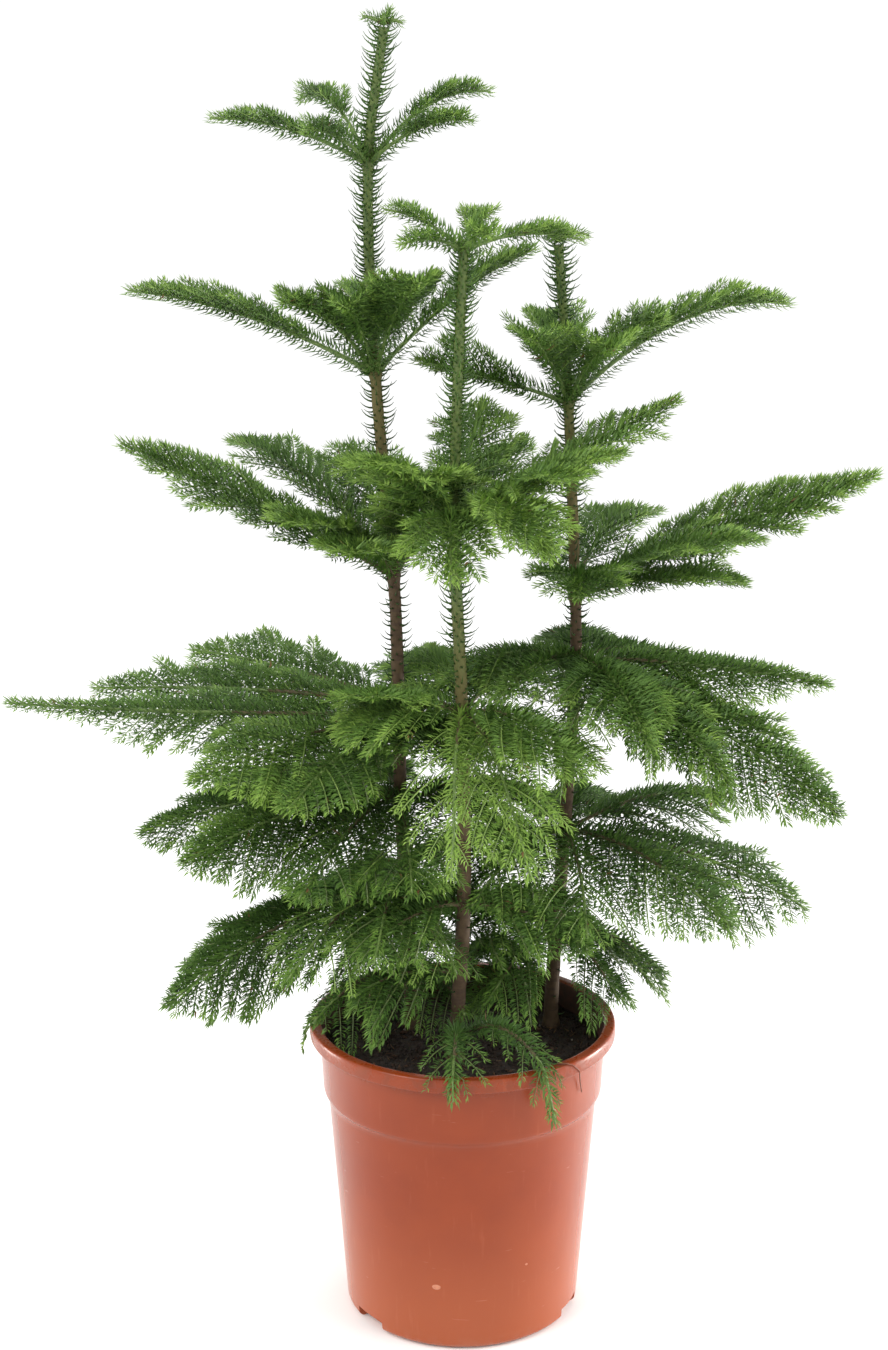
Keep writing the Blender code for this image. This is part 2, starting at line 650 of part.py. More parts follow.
def build_boughs_and_masses(rings, guides, crown, collection, bark, needles):
    masses = []
    tiers_seen = {stem: 0 for stem in STEMS}
    for tier in TIERS:
        stem = tier[0]
        tiers_seen[stem] += 1
        for letter, shapes in zip("abcd", tier[5]):
            name = f"{stem}_{tiers_seen[stem]}{letter}"
            branches = [Branch(tier, shape) for shape in shapes]
            first = branches[0]
            has_bough = len(branches) == 1 and first.reach >= BOUGH_MIN_REACH
            if has_bough:
                shares = (first.root, 0.5 * (first.root + BOUGH_SHARE), BOUGH_SHARE)
                mesh = branch_mesh(first, shares, rings[BOUGH_SIDES], guides, "bough_" + name)
                crown.add_object(new_object("bough_" + name, mesh, collection, bark))
            masses.append(Mass("foliage_" + name, branches, has_bough))
    for mass in masses:
        mass.grow_branches(rings[BRANCH_SIDES], guides, crown)
    while any(queue for mass in masses for queue in mass.waiting):
        for mass in masses:
            mass.grow_spray(crown)
    for mass in masses:
        mass.fuse(collection, needles)


def main():
    clear_scene()
    plant = new_collection("norfolk_island_pine")
    guides = new_collection("guides", hidden=True)
    cutters = new_collection("cutters", hidden=True)
    terracotta = new_material("terracotta_plastic", (0.52, 0.13, 0.055), 0.32)
    compost = new_material("compost", (0.022, 0.014, 0.010), 0.95)
    bark = new_material("bark", (0.11, 0.055, 0.030), 0.85)
    needles = new_material("needles", (0.055, 0.160, 0.035), 0.55)
    crown = Crown()
    crown.add_object(build_pot(plant, cutters, terracotta))
    crown.add_object(build_soil(plant, compost))
    rings = {n: ring_guide(n, guides) for n in (BRANCH_SIDES, BOUGH_SIDES, STEM_SIDES)}
    for stem in STEMS:
        crown.add_object(build_stem(stem, rings[STEM_SIDES], guides, plant, bark))
    build_boughs_and_masses(rings, guides, crown, plant, bark, needles)
    for guide in rings.values():
        bpy.data.objects.remove(guide, do_unlink=True)


main()
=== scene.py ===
import math

import bpy
import numpy as np
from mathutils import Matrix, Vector, noise


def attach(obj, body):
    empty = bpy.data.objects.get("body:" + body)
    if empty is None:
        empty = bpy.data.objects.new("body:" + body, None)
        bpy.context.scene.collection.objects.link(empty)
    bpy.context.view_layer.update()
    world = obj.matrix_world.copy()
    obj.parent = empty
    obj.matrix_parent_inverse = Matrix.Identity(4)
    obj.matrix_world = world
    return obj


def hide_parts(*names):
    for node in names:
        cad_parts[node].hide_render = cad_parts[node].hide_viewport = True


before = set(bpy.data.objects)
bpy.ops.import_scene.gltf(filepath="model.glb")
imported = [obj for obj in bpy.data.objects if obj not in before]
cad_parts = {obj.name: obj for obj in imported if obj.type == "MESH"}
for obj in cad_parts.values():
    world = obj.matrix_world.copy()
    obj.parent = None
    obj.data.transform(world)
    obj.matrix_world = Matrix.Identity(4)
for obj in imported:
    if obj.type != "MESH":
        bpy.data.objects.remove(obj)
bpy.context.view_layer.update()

rng = np.random.default_rng(4127)
print("frame loaded,", len(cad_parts), "solids")

# Lengths are metres, +Z is up, and the front is -Y. Colours are linear.
golden = math.radians(137.508)


# Camera, light and floor

studio = {
    "cameraPlace": (-0.0127, -1.40, 0.797),
    "cameraTilt": 13.95,        # degrees below level
    "lens": 58.187,             # on a 36 mm sensor, for an upright 888 x 1350 frame
    "worldColour": (1.0, 1.0, 1.0),
    "worldStrength": 1.06,
    "floorSize": 9.0,
    "floorDrop": 0.0005,        # the floor lies this far under the pot
    "floorSkin": {
        "rough": 0.75, "tones": ((0.96, 0.96, 0.955), (0.945, 0.945, 0.94)), "scale": 3.0},
    # Area lights: place, target, size, power in watts, colour
    "lights": {
        "keyLeft": ((-1.5, -1.3, 1.9), (0.0, 0.0, 0.45), (1.2, 1.2), 26.0, (1.0, 0.99, 0.97)),
        "fillRight": ((1.7, -0.9, 1.3), (0.0, 0.0, 0.35), (1.0, 1.4), 16.0, (1.0, 1.0, 1.0)),
        "topBack": ((0.2, 1.2, 2.2), (0.0, 0.0, 0.5), (1.4, 1.0), 12.0, (1.0, 1.0, 1.0)),
        "stripLeft": ((-0.85, 0.22, 0.14), (-0.08, 0.0, 0.10), (0.30, 0.28), 3.5, (1.0, 0.97, 0.93)),
        "stripRight": ((0.85, 0.22, 0.14), (0.08, 0.0, 0.10), (0.30, 0.28), 8.0, (1.0, 0.97, 0.93)),
    },
}


def addObject(name, data):
    made = bpy.data.objects.new(name, data)
    bpy.context.scene.collection.objects.link(made)
    return made


def makeCamera():
    camera = bpy.data.cameras.new("camera")
    camera.lens = studio["lens"]
    camera.sensor_width = 36.0
    camera.clip_start = 0.05
    made = addObject("camera", camera)
    made.location = studio["cameraPlace"]
    made.rotation_euler = (math.radians(90.0 - studio["cameraTilt"]), 0.0, 0.0)
    bpy.context.scene.camera = made


def makeStudio():
    scene = bpy.context.scene
    scene.view_settings.view_transform = "Standard"
    scene.world = bpy.data.worlds.new("paleRoom")
    scene.world.use_nodes = True
    background = scene.world.node_tree.nodes["Background"]
    background.inputs["Color"].default_value = (*studio["worldColour"], 1.0)
    background.inputs["Strength"].default_value = studio["worldStrength"]
    for name, (place, target, size, power, colour) in studio["lights"].items():
        light = bpy.data.lights.new(name, "AREA")
        light.shape = "RECTANGLE"
        light.size, light.size_y = size
        light.energy = power
        light.color = colour
        made = addObject(name, light)
        made.location = place
        aim = Vector(target) - Vector(place)
        made.rotation_euler = aim.to_track_quat("-Z", "Y").to_euler()


# Shader helpers and the effects that several materials share

effects = {}


def addNode(tree, kind, **settings):
    node = tree.nodes.new(kind)
    for key, value in settings.items():
        setattr(node, key, value)
    return node


def feed(tree, value, socket):
    # A socket takes either another socket or a plain value
    if isinstance(value, bpy.types.NodeSocket):
        tree.links.new(value, socket)
    elif socket.type == "RGBA" and len(value) == 3:
        socket.default_value = (*value, 1.0)
    else:
        socket.default_value = value


def newGroup(name, outputs, **inputs):
    # An input's kind follows from its value: a number, three of a vector or four of a colour
    kinds = {3: "NodeSocketVector", 4: "NodeSocketColor"}
    group = bpy.data.node_groups.new(name, "ShaderNodeTree")
    for label, value in inputs.items():
        kind = kinds[len(value)] if isinstance(value, tuple) else "NodeSocketFloat"
        socket = group.interface.new_socket(
            label.replace("_", " "), in_out="INPUT", socket_type=kind)
        socket.default_value = value
    for label in outputs:
        kind = "NodeSocketColor" if label == "Color" else "NodeSocketFloat"
        group.interface.new_socket(label, in_out="OUTPUT", socket_type=kind)
    effects[name] = group
    return group, addNode(group, "NodeGroupInput").outputs, addNode(group, "NodeGroupOutput").inputs


def placeIn(tree):
    return addNode(tree, "ShaderNodeTexCoord").outputs["Object"]


def heightOf(tree, place):
    split = addNode(tree, "ShaderNodeSeparateXYZ")
    tree.links.new(place, split.inputs["Vector"])
    return split.outputs["Z"]


def noiseAt(tree, vector, scale, detail=4.0, rough=0.55):
    node = addNode(tree, "ShaderNodeTexNoise")
    tree.links.new(vector, node.inputs["Vector"])
    for label, value in (("Scale", scale), ("Detail", detail), ("Roughness", rough)):
        feed(tree, value, node.inputs[label])
    return node.outputs["Fac"]


def ranged(tree, value, low, high, outLow=0.0, outHigh=1.0):
    node = addNode(tree, "ShaderNodeMapRange", interpolation_type="SMOOTHSTEP")
    feed(tree, value, node.inputs["Value"])
    for label, number in (
        ("From Min", low), ("From Max", high), ("To Min", outLow), ("To Max", outHigh)
    ):
        feed(tree, number, node.inputs[label])
    return node.outputs["Result"]


def blended(tree, mask, first, second):
    # Counted from zero, a mix node's colours are its inputs 6 and 7 and its output 2
    node = addNode(tree, "ShaderNodeMix", data_type="RGBA")
    for value, index in ((mask, 0), (first, 6), (second, 7)):
        feed(tree, value, node.inputs[index])
    return node.outputs[2]


def combined(tree, operation, first, second):
    node = addNode(tree, "ShaderNodeMath", operation=operation)
    feed(tree, first, node.inputs[0])
    feed(tree, second, node.inputs[1])
    return node.outputs["Value"]


def makeToneDrift():
    # Two tones that drift into each other in soft patches
    group, given, result = newGroup(
        "toneDrift", ("Color", "Mask"), Tone=(0.5, 0.5, 0.5, 1.0),
        Other_Tone=(0.3, 0.3, 0.3, 1.0), Scale=40.0, Sharpness=0.5)
    cloud = noiseAt(group, placeIn(group), given["Scale"], 5.0)
    half = combined(group, "MULTIPLY", combined(group, "SUBTRACT", 1.0, given["Sharpness"]), 0.3)
    low, high = combined(group, "SUBTRACT", 0.5, half), combined(group, "ADD", 0.52, half)
    mask = ranged(group, cloud, low, high)
    colour = blended(group, mask, given["Tone"], given["Other Tone"])
    group.links.new(colour, result["Color"])
    group.links.new(mask, result["Mask"])


def makeFineGrain():
    # A height of small lumps on larger ones
    group, given, result = newGroup("fineGrain", ("Height",), Scale=400.0, Lumps=0.4)
    place = placeIn(group)
    fine = noiseAt(group, place, given["Scale"], 6.0, 0.65)
    coarse = noiseAt(group, place, combined(group, "MULTIPLY", given["Scale"], 0.16), 3.0)
    share = combined(group, "MULTIPLY", coarse, given["Lumps"])
    group.links.new(combined(group, "ADD", fine, share), result["Height"])


def makeStreaks():
    # Long thin marks along one axis: flow marks in plastic, rings in bark
    group, given, result = newGroup(
        "streaks", ("Mask",), Stretch=(1.0, 1.0, 0.1), Scale=200.0, Threshold=0.55)
    mapping = addNode(group, "ShaderNodeMapping")
    group.links.new(placeIn(group), mapping.inputs["Vector"])
    group.links.new(given["Stretch"], mapping.inputs["Scale"])
    marks = noiseAt(group, mapping.outputs["Vector"], given["Scale"], 3.0)
    high = combined(group, "ADD", given["Threshold"], 0.16)
    group.links.new(ranged(group, marks, given["Threshold"], high), result["Mask"])


def makeGroundDust():
    # A patchy band that clings near a height and fades away from it: peat dust and splashes, and the
    # painted shade at the rim under the foliage
    group, given, result = newGroup("dirtAndShadeBand", ("Mask",), Height=0.0, Reach=0.02, Amount=0.5)
    place = placeIn(group)
    away = combined(group, "SUBTRACT", heightOf(group, place), given["Height"])
    away = combined(group, "ABSOLUTE", away, 0.0)
    near = ranged(group, away, 0.0, given["Reach"], 1.0, 0.0)
    patches = ranged(group, noiseAt(group, place, 130.0, 5.0), 0.42, 0.62)
    mask = combined(group, "MULTIPLY", combined(group, "MULTIPLY", near, patches), given["Amount"])
    group.links.new(mask, result["Mask"])


def effect(tree, name, **values):
    node = addNode(tree, "ShaderNodeGroup")
    node.node_tree = effects[name]
    for label, value in values.items():
        feed(tree, value, node.inputs[label.replace("_", " ")])
    return node.outputs


def addGrain(tree, shader, scale, lumps, distance, strength):
    bump = addNode(tree, "ShaderNodeBump")
    bump.inputs["Strength"].default_value = strength
    bump.inputs["Distance"].default_value = distance
    grain = effect(tree, "fineGrain", Scale=scale, Lumps=lumps)
    tree.links.new(grain["Height"], bump.inputs["Height"])
    tree.links.new(bump.outputs["Normal"], shader.inputs["Normal"])


def newMaterial(name, rough, **settings):
    material = bpy.data.materials.new(name)
    material.use_nodes = True
    tree = material.node_tree
    shader = tree.nodes["Principled BSDF"]
    for label, value in {"Roughness": rough, **settings}.items():
        feed(tree, value, shader.inputs[label.replace("_", " ")])
    return material, tree, shader


def drifting(tree, tones, scale, sharpness):
    return effect(
        tree, "toneDrift", Tone=tones[0], Other_Tone=tones[1], Scale=scale, Sharpness=sharpness)


def driftMaterial(name, rough, tones, scale, sharpness=0.5, grain=None):
    # Two drifting tones. A pair of roughnesses drifts with them.
    material, tree, shader = newMaterial(name, 0.5)
    drift = drifting(tree, tones, scale, sharpness)
    tree.links.new(drift["Color"], shader.inputs["Base Color"])
    if isinstance(rough, tuple):
        rough = ranged(tree, drift["Mask"], 0.0, 1.0, *rough)
    feed(tree, rough, shader.inputs["Roughness"])
    if grain:
        addGrain(tree, shader, **grain)
    return material


# Mesh helpers: everything is made of triangles, as arrays of points and corners

up3 = np.array([0.0, 0.0, 1.0])


def unit(vectors):
    return vectors / np.maximum(np.linalg.norm(vectors, axis=-1, keepdims=True), 1e-9)


def outAndSide(degrees):
    angle = math.radians(degrees)
    out = np.array([math.cos(angle), math.sin(angle), 0.0])
    return out, np.cross(up3, out)


def makePiece(name, points, faces, materials, slots=None, smooth=True):
    mesh = bpy.data.meshes.new(name)
    mesh.vertices.add(len(points))
    mesh.vertices.foreach_set("co", np.asarray(points, dtype=np.float32).ravel())
    mesh.loops.add(faces.size)
    mesh.loops.foreach_set("vertex_index", faces.astype(np.int32).ravel())
    mesh.polygons.add(len(faces))
    mesh.polygons.foreach_set("loop_start", np.arange(0, faces.size, 3, dtype=np.int32))
    for material in materials:
        mesh.materials.append(material)
    if slots is not None:
        mesh.polygons.foreach_set("material_index", slots.astype(np.int32))
    mesh.update(calc_edges=True)
    mesh.validate()
    if smooth:
        mesh.shade_smooth()
    return addObject(name, mesh)


def finishPiece(piece, replaced=()):
    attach(piece, "root")
    if replaced:
        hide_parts(*replaced)
    print("   ", piece.name, len(piece.data.polygons), "triangles")


def joined(shapes):
    # Many (points, faces) as one
    points, faces, start = [], [], 0
    for somePoints, someFaces in shapes:
        points.append(somePoints)
        faces.append(someFaces + start)
        start += len(somePoints)
    return np.concatenate(points), np.concatenate(faces)


def framesAlong(paths, ups):
    # The direction, up and side at each point of each path, carried along without twist
    steps = unit(np.diff(paths, axis=1))
    middle = unit(steps[:, 1:] + steps[:, :-1])
    tangent = np.concatenate([steps[:, :1], middle, steps[:, -1:]], axis=1)
    up = np.empty_like(paths)
    current = np.broadcast_to(ups, paths[:, 0].shape)
    for k in range(paths.shape[1]):
        ahead = tangent[:, k]
        current = unit(current - ahead * np.sum(current * ahead, axis=1, keepdims=True))
        up[:, k] = current
    return tangent, up, np.cross(tangent, up)


def closedGrid(rows, steps):
    # The faces of rows of points round a form, with one more point to close each end
    corner = np.arange(steps)
    after = (corner + 1) % steps
    faces = []
    for k in range(rows - 1):
        a, b = k * steps + corner, k * steps + after
        faces.append(np.stack([a, b, b + steps], axis=1))
        faces.append(np.stack([a, b + steps, a + steps], axis=1))
    first = rows * steps
    end = first - steps
    faces.append(np.stack([np.full(steps, first), after, corner], axis=1))
    faces.append(np.stack([np.full(steps, first + 1), end + corner, end + after], axis=1))
    return np.concatenate(faces)


def tubes(paths, radii, ups, sides):
    # Closed tapering tubes, one for each path, with a radius for each point or each corner
    count, knots = paths.shape[:2]
    up, side = framesAlong(paths, ups)[1:]
    turn = np.arange(sides) * math.tau / sides
    ring = np.cos(turn)[:, None] * up[:, :, None] + np.sin(turn)[:, None] * side[:, :, None]
    if radii.ndim == 2:
        radii = np.repeat(radii[..., None], sides, axis=2)
    wall = paths[:, :, None] + ring * radii[..., None]
    points = np.concatenate(
        [wall.reshape(count, knots * sides, 3), paths[:, :1], paths[:, -1:]], axis=1)
    starts = np.arange(count) * points.shape[1]
    faces = closedGrid(knots, sides)[None] + starts[:, None, None]
    return points.reshape(-1, 3), faces.reshape(-1, 3)


def turned(profile, steps, swell=None):
    # A closed form from an outline of (radius, height) that starts and ends on the axis
    profile = np.asarray(profile)
    inner = profile[1:-1]
    angle = np.arange(steps) * math.tau / steps
    rows = np.stack([
        np.outer(inner[:, 0], np.cos(angle)),
        np.outer(inner[:, 0], np.sin(angle)),
        np.repeat(inner[:, 1:], steps, axis=1)], axis=2)
    if swell is not None:
        rows[:, :, 2] += swell(rows)
    ends = [[0.0, 0.0, profile[0, 1]], [0.0, 0.0, profile[-1, 1]]]
    faces = closedGrid(len(inner), steps)[:, [0, 2, 1]]
    return np.concatenate([rows.reshape(-1, 3), ends]), faces


def cornersCut(outline, rounds):
    # Rounds an outline by cutting each corner, and keeps its two ends
    line = np.asarray(outline)
    for _ in range(rounds):
        a, b = line[:-1], line[1:]
        middle = np.stack([0.78 * a + 0.22 * b, 0.22 * a + 0.78 * b], axis=1).reshape(-1, 2)
        line = np.concatenate([line[:1], middle[1:-1], line[-1:]])
    return line


# Pot

pot = {
    "height": 0.207, "footRadius": 0.0806, "shoulderRadius": 0.0925,
    "collarRadius": 0.0960, "rimRadius": 0.1050, "wall": 0.0018, "floor": 0.0095,
    "collarHeight": 0.0484, "collarStep": 0.0022, "collarTurn": 0.0014,
    "lipHeight": 0.0100, "lipOverhang": 0.0070, "footRound": 0.0030, "steps": 132,
    "notchCount": 3, "notchSize": (0.016, 0.027, 0.017), "notchTurn": 97.5,
    "notchRound": 0.0012, "sharpFrom": 38.0,
    "tones": ((0.250, 0.040, 0.008), (0.220, 0.033, 0.007)),
    # What lies over the tones, and how much of it shows. The paler foot fades up to a height.
    "foot": ((0.390, 0.098, 0.035), 0.62), "footFade": 0.125,
    "flow": ((0.62, 0.22, 0.12), 0.06),
    "scuffs": ((0.62, 0.22, 0.12), 0.16),
    # Darker towards the top of the lip: peat dust, and painted shade where the foliage overhangs the
    # rim
    "dustAndShade": ((0.09, 0.045, 0.025), 0.5),
    "splashes": ((0.40, 0.19, 0.12), 1.0),
    # Roughness of clean plastic, and what scuffs and dust add
    "roughness": 0.24, "scuffRoughness": 0.18, "dustRoughness": 0.40,
    # Painted shade: the dark brown that the inner wall above the compost takes, where the crown shades
    # it
    "paintedInnerShade": {
        "rough": 0.8, "tones": ((0.085, 0.030, 0.016), (0.040, 0.022, 0.014)), "scale": 120.0,
        "sharpness": 0.4},
    # Low domes on the wall, the injection mark and a nib: degrees, height, and half width,
    # half height and how far each stands out
    "marks": ((-102.2, 0.0480, (0.0030, 0.0022, 0.0003)), (-60.0, 0.0600, (0.0011, 0.0008, 0.0005))),
    "markSteps": (6, 20), "markSunk": 0.0001,
    "markSkin": {"rough": 0.5, "tones": ((0.52, 0.20, 0.11), (0.44, 0.15, 0.08)), "scale": 500.0},
}
collarFoot = pot["height"] - pot["collarHeight"]
shoulderHeight = collarFoot - 2 * pot["collarStep"]
lipFoot = pot["height"] - pot["lipHeight"]
mouthRadius = pot["rimRadius"] - pot["lipOverhang"]


def makePotMaterial():
    material, tree, shader = newMaterial(
        "terracottaPlastic", 0.3, Coat_Weight=0.12, Coat_Roughness=0.10, Specular_IOR_Level=0.28)
    scuffs = effect(tree, "streaks", Stretch=(0.5, 0.5, 4.0), Scale=90.0, Threshold=0.68)["Mask"]
    # Peat dust and painted shade near the rim, under the overhanging foliage
    dustAndShade = effect(
        tree, "dirtAndShadeBand", Height=pot["height"] - 0.004, Reach=0.016, Amount=0.45)["Mask"]
    masks = {
        "foot": ranged(tree, heightOf(tree, placeIn(tree)), 0.0, pot["footFade"], 1.0, 0.0),
        "flow": effect(
            tree, "streaks", Stretch=(1.0, 1.0, 0.10), Scale=260.0, Threshold=0.60)["Mask"],
        "scuffs": scuffs,
        "dustAndShade": dustAndShade,
        "splashes": effect(tree, "dirtAndShadeBand", Height=0.0, Reach=0.012, Amount=0.20)["Mask"],
    }
    colour = drifting(tree, pot["tones"], scale=22.0, sharpness=0.1)["Color"]
    for label, mask in masks.items():
        tone, share = pot[label]
        colour = blended(tree, combined(tree, "MULTIPLY", mask, share), colour, tone)
    tree.links.new(colour, shader.inputs["Base Color"])
    worn = combined(tree, "MULTIPLY", scuffs, pot["scuffRoughness"])
    dusty = combined(tree, "MULTIPLY", dustAndShade, pot["dustRoughness"])
    rough = combined(tree, "ADD", combined(tree, "ADD", worn, dusty), pot["roughness"])
    tree.links.new(rough, shader.inputs["Roughness"])
    addGrain(tree, shader, scale=900.0, lumps=2.2, distance=0.00006, strength=0.35)
    return material


def wallRadius(height):
    share = (height - pot["footRound"]) / (shoulderHeight - pot["footRound"])
    return pot["footRadius"] + (pot["shoulderRadius"] - pot["footRadius"]) * share


def potProfile():
    # From the middle of the floor up the inside, over the lip and down to the foot
    thin, top, low = pot["wall"], pot["height"], pot["footRound"]
    foot, shoulder = pot["footRadius"], pot["shoulderRadius"]
    collar, rim = pot["collarRadius"], pot["rimRadius"]
    turn = (shoulder + pot["collarTurn"], collarFoot - pot["collarStep"])
    inside = cornersCut([
        (foot - thin - 0.004, pot["floor"]), (foot - thin, pot["floor"]),
        (shoulder - thin, shoulderHeight), (turn[0] - thin, turn[1]), (collar - thin, collarFoot),
        (mouthRadius - thin, lipFoot), (mouthRadius - thin + 0.0006, top - 0.0012),
        (mouthRadius + 0.0004, top)], 2)
    outside = cornersCut([
        (mouthRadius + 0.0014, top), (rim - 0.0010, top), (rim, top - 0.0018),
        (rim, lipFoot + 0.0014), (rim - 0.0008, lipFoot), (mouthRadius + 0.0006, lipFoot),
        (mouthRadius, lipFoot - 0.0010), (collar + 0.0004, collarFoot + 0.010),
        (collar, collarFoot), turn, (shoulder, shoulderHeight)], 3)
    wall = [(wallRadius(z), z) for z in np.linspace(shoulderHeight - 0.004, low + 0.002, 12)]
    under = cornersCut(
        [wall[-1], (foot, low), (foot - low, 0.0), (foot - low - 0.003, 0.0)], 2)
    return [(0.0, pot["floor"]), *inside, *outside, *wall[:-1], *under, (0.0, 0.0)]


def cutNotches(piece):
    cutters = []
    for i in range(pot["notchCount"]):
        angle = math.radians(pot["notchTurn"]) + i * math.tau / pot["notchCount"]
        bpy.ops.mesh.primitive_cube_add(size=1.0)
        cutter = bpy.context.object
        cutter.scale = pot["notchSize"]
        cutter.location.x = pot["footRadius"] * math.cos(angle)
        cutter.location.y = pot["footRadius"] * math.sin(angle)
        cutter.rotation_euler.z = angle
        bevel = cutter.modifiers.new("round", "BEVEL")
        bevel.width = pot["notchRound"]
        bevel.segments = 3
        cutters.append(cutter)
        cut = piece.modifiers.new("notch", "BOOLEAN")
        cut.operation = "DIFFERENCE"
        cut.object = cutter
    graph = bpy.context.evaluated_depsgraph_get()
    mesh = bpy.data.meshes.new_from_object(piece.evaluated_get(graph))
    piece.modifiers.clear()
    piece.data = mesh
    for cutter in cutters:
        bpy.data.objects.remove(cutter, do_unlink=True)


def makePot():
    plastic = makePotMaterial()
    paintedInnerShade = driftMaterial("paintedShadeInnerWall", **pot["paintedInnerShade"])
    points, faces = turned(potProfile(), pot["steps"])
    shell = makePiece("potShell", points, faces[:, ::-1], [plastic, paintedInnerShade])
    cutNotches(shell)
    shell.data.shade_smooth()
    shell.data.set_sharp_from_angle(angle=math.radians(pot["sharpFrom"]))
    # The inside above the compost is painted dark brown: painted shade, where the crown shades the
    # inner wall
    inner = mouthRadius - 0.5 * pot["wall"]
    for face in shell.data.polygons:
        x, y, z = face.center
        if math.hypot(x, y) < inner and z > pot["floor"] * 2:
            face.material_index = int(face.normal.x * x + face.normal.y * y < 0)
    finishPiece(shell, ["pot"])


def makePotMarks():
    pale = driftMaterial("scuffedPlastic", **pot["markSkin"])
    rows, steps = pot["markSteps"]
    arc = np.linspace(0.0, 0.5 * math.pi, rows)
    dome, faces = turned([*zip(np.sin(arc), np.cos(arc)), (0.0, -0.3)], steps)
    shapes = []
    for degrees, height, size in pot["marks"]:
        out, side = outAndSide(degrees)
        middle = out * (wallRadius(height) - pot["markSunk"]) + up3 * height
        shapes.append((middle + (dome * size) @ np.stack([side, up3, out]), faces))
    finishPiece(makePiece("potMarks", *joined(shapes), [pale]))


# A dry rootlet that lies over the front of the rim, as (degrees, radius, height)
rootlet = {
    "bends": (
        (-55.0, 0.0965, 0.2060), (-53.0, 0.1005, 0.2079), (-50.0, 0.1045, 0.2080),
        (-47.5, 0.1058, 0.2060), (-44.0, 0.1060, 0.2000), (-40.5, 0.1012, 0.1925),
        (-38.5, 0.0992, 0.1860), (-37.0, 0.0987, 0.1785)),
    "radius": 0.00040, "knots": 40, "sides": 6,
    "skin": {"rough": 0.7, "tones": ((0.20, 0.060, 0.030), (0.12, 0.040, 0.020)), "scale": 300.0},
}


def makeRootlet():
    bends = np.array(rootlet["bends"])
    at = np.linspace(0, len(bends) - 1, rootlet["knots"])
    degrees, away, height = (np.interp(at, np.arange(len(bends)), line) for line in bends.T)
    turn = np.radians(degrees)
    path = np.stack([away * np.cos(turn), away * np.sin(turn), height], axis=1)
    shape = tubes(path[None], np.full((1, len(at)), rootlet["radius"]), up3[None], rootlet["sides"])
    material = driftMaterial("dryRootlet", **rootlet["skin"])
    finishPiece(makePiece("rootlet", *shape, [material]))


# Compost

compost = {
    "top": 0.188, "gap": 0.0003, "steps": 150, "rings": 56,
    "lumps": 0.0022, "sunk": 0.0005, "flatFrom": 0.0955, "flatWidth": 0.006,
    # Lumps to the metre, and the layers of them as (how much finer, how high)
    "lumpsPerMetre": 55.0, "layers": ((1.0, 1.0), (2.7, 0.5), (7.0, 0.28)),
    "rough": (0.80, 0.98),
    "grain": {"scale": 700.0, "lumps": 1.2, "distance": 0.0012, "strength": 0.9},
    # Two tones, and how fine their patches are
    "materials": {
        "darkPeat": (((0.016, 0.010, 0.007), (0.045, 0.027, 0.018)), 240.0),
        "barkChips": (((0.085, 0.042, 0.022), (0.035, 0.018, 0.010)), 180.0),
        "paleGrit": (((0.30, 0.27, 0.22), (0.17, 0.15, 0.12)), 300.0),
        "dryNeedles": (((0.170, 0.085, 0.036), (0.090, 0.070, 0.026)), 260.0),
    },
    # Bits thrown over it, this far from the middle at most: material, number, half length from
    # and to, and the other two half lengths as shares of it
    "spread": 0.0925, "bitEnds": (0.7, 1.15), "bitStand": 0.25,
    "bits": {
        "compostCrumbs": ("darkPeat", 1900, (0.0006, 0.0024), (0.85, 0.7)),
        "compostChips": ("barkChips", 260, (0.0015, 0.0048), (0.45, 0.22)),
        "compostSpecks": ("paleGrit", 34, (0.0006, 0.0016), (0.9, 0.8)),
        "fallenNeedles": ("dryNeedles", 140, (0.0028, 0.0050), (0.13, 0.10)),
    },
}


def compostHeight(x, y):
    at = Vector((x * compost["lumpsPerMetre"], y * compost["lumpsPerMetre"], 0.4))
    lump = sum(high * noise.noise(at * finer) for finer, high in compost["layers"])
    edge = min(1.0, (compost["flatFrom"] - math.hypot(x, y)) / compost["flatWidth"])
    return compost["lumps"] * lump * max(edge, 0.0) - compost["sunk"]


def scattered(count, size, squash):
    # Rough eight-faced bits, thrown over the compost
    radius = np.sqrt(rng.uniform(0.0, compost["spread"]**2, count))
    turn = rng.uniform(0, math.tau, count)
    x, y = radius * np.cos(turn), radius * np.sin(turn)
    z = np.array([compost["top"] + compostHeight(a, b) for a, b in zip(x, y)])
    axes = unit(rng.normal(size=(count, 3)))
    other = unit(np.cross(axes, unit(rng.normal(size=(count, 3)))))
    third = np.cross(axes, other)
    big = rng.uniform(*size, count)[:, None]
    ends = []
    for direction, share in ((axes, 1.0), (other, squash[0]), (third, squash[1])):
        for hand in (1, -1):
            uneven = rng.uniform(*compost["bitEnds"], (count, 1))
            ends.append(hand * direction * big * share * uneven)
    middle = np.stack([x, y, z + compost["bitStand"] * big[:, 0]], axis=1)
    points = middle[:, None] + np.stack(ends, axis=1)
    corners = np.array([(0, 2, 4), (2, 1, 4), (1, 3, 4), (3, 0, 4),
                        (2, 0, 5), (1, 2, 5), (3, 1, 5), (0, 3, 5)])
    faces = corners[None] + 6 * np.arange(count)[:, None, None]
    return points.reshape(-1, 3), faces.reshape(-1, 3)


def compostProfile():
    # Level rings at the top, then down the inside of the pot with a hair's gap
    thin, gap = pot["wall"], compost["gap"]
    collar, shoulder = pot["collarRadius"], pot["shoulderRadius"]
    share = (compost["top"] - collarFoot) / (lipFoot - collarFoot)
    edge = collar - thin + (mouthRadius - thin - collar + thin) * share - gap
    floor = pot["floor"] + gap
    return [(x, compost["top"]) for x in np.linspace(0.0, edge, compost["rings"] + 1)] + [
        (collar - thin - gap, collarFoot),
        (shoulder + pot["collarTurn"] - thin - gap, collarFoot - pot["collarStep"]),
        (shoulder - thin - gap, shoulderHeight),
        (pot["footRadius"] - thin - gap, floor), (0.0, floor)]


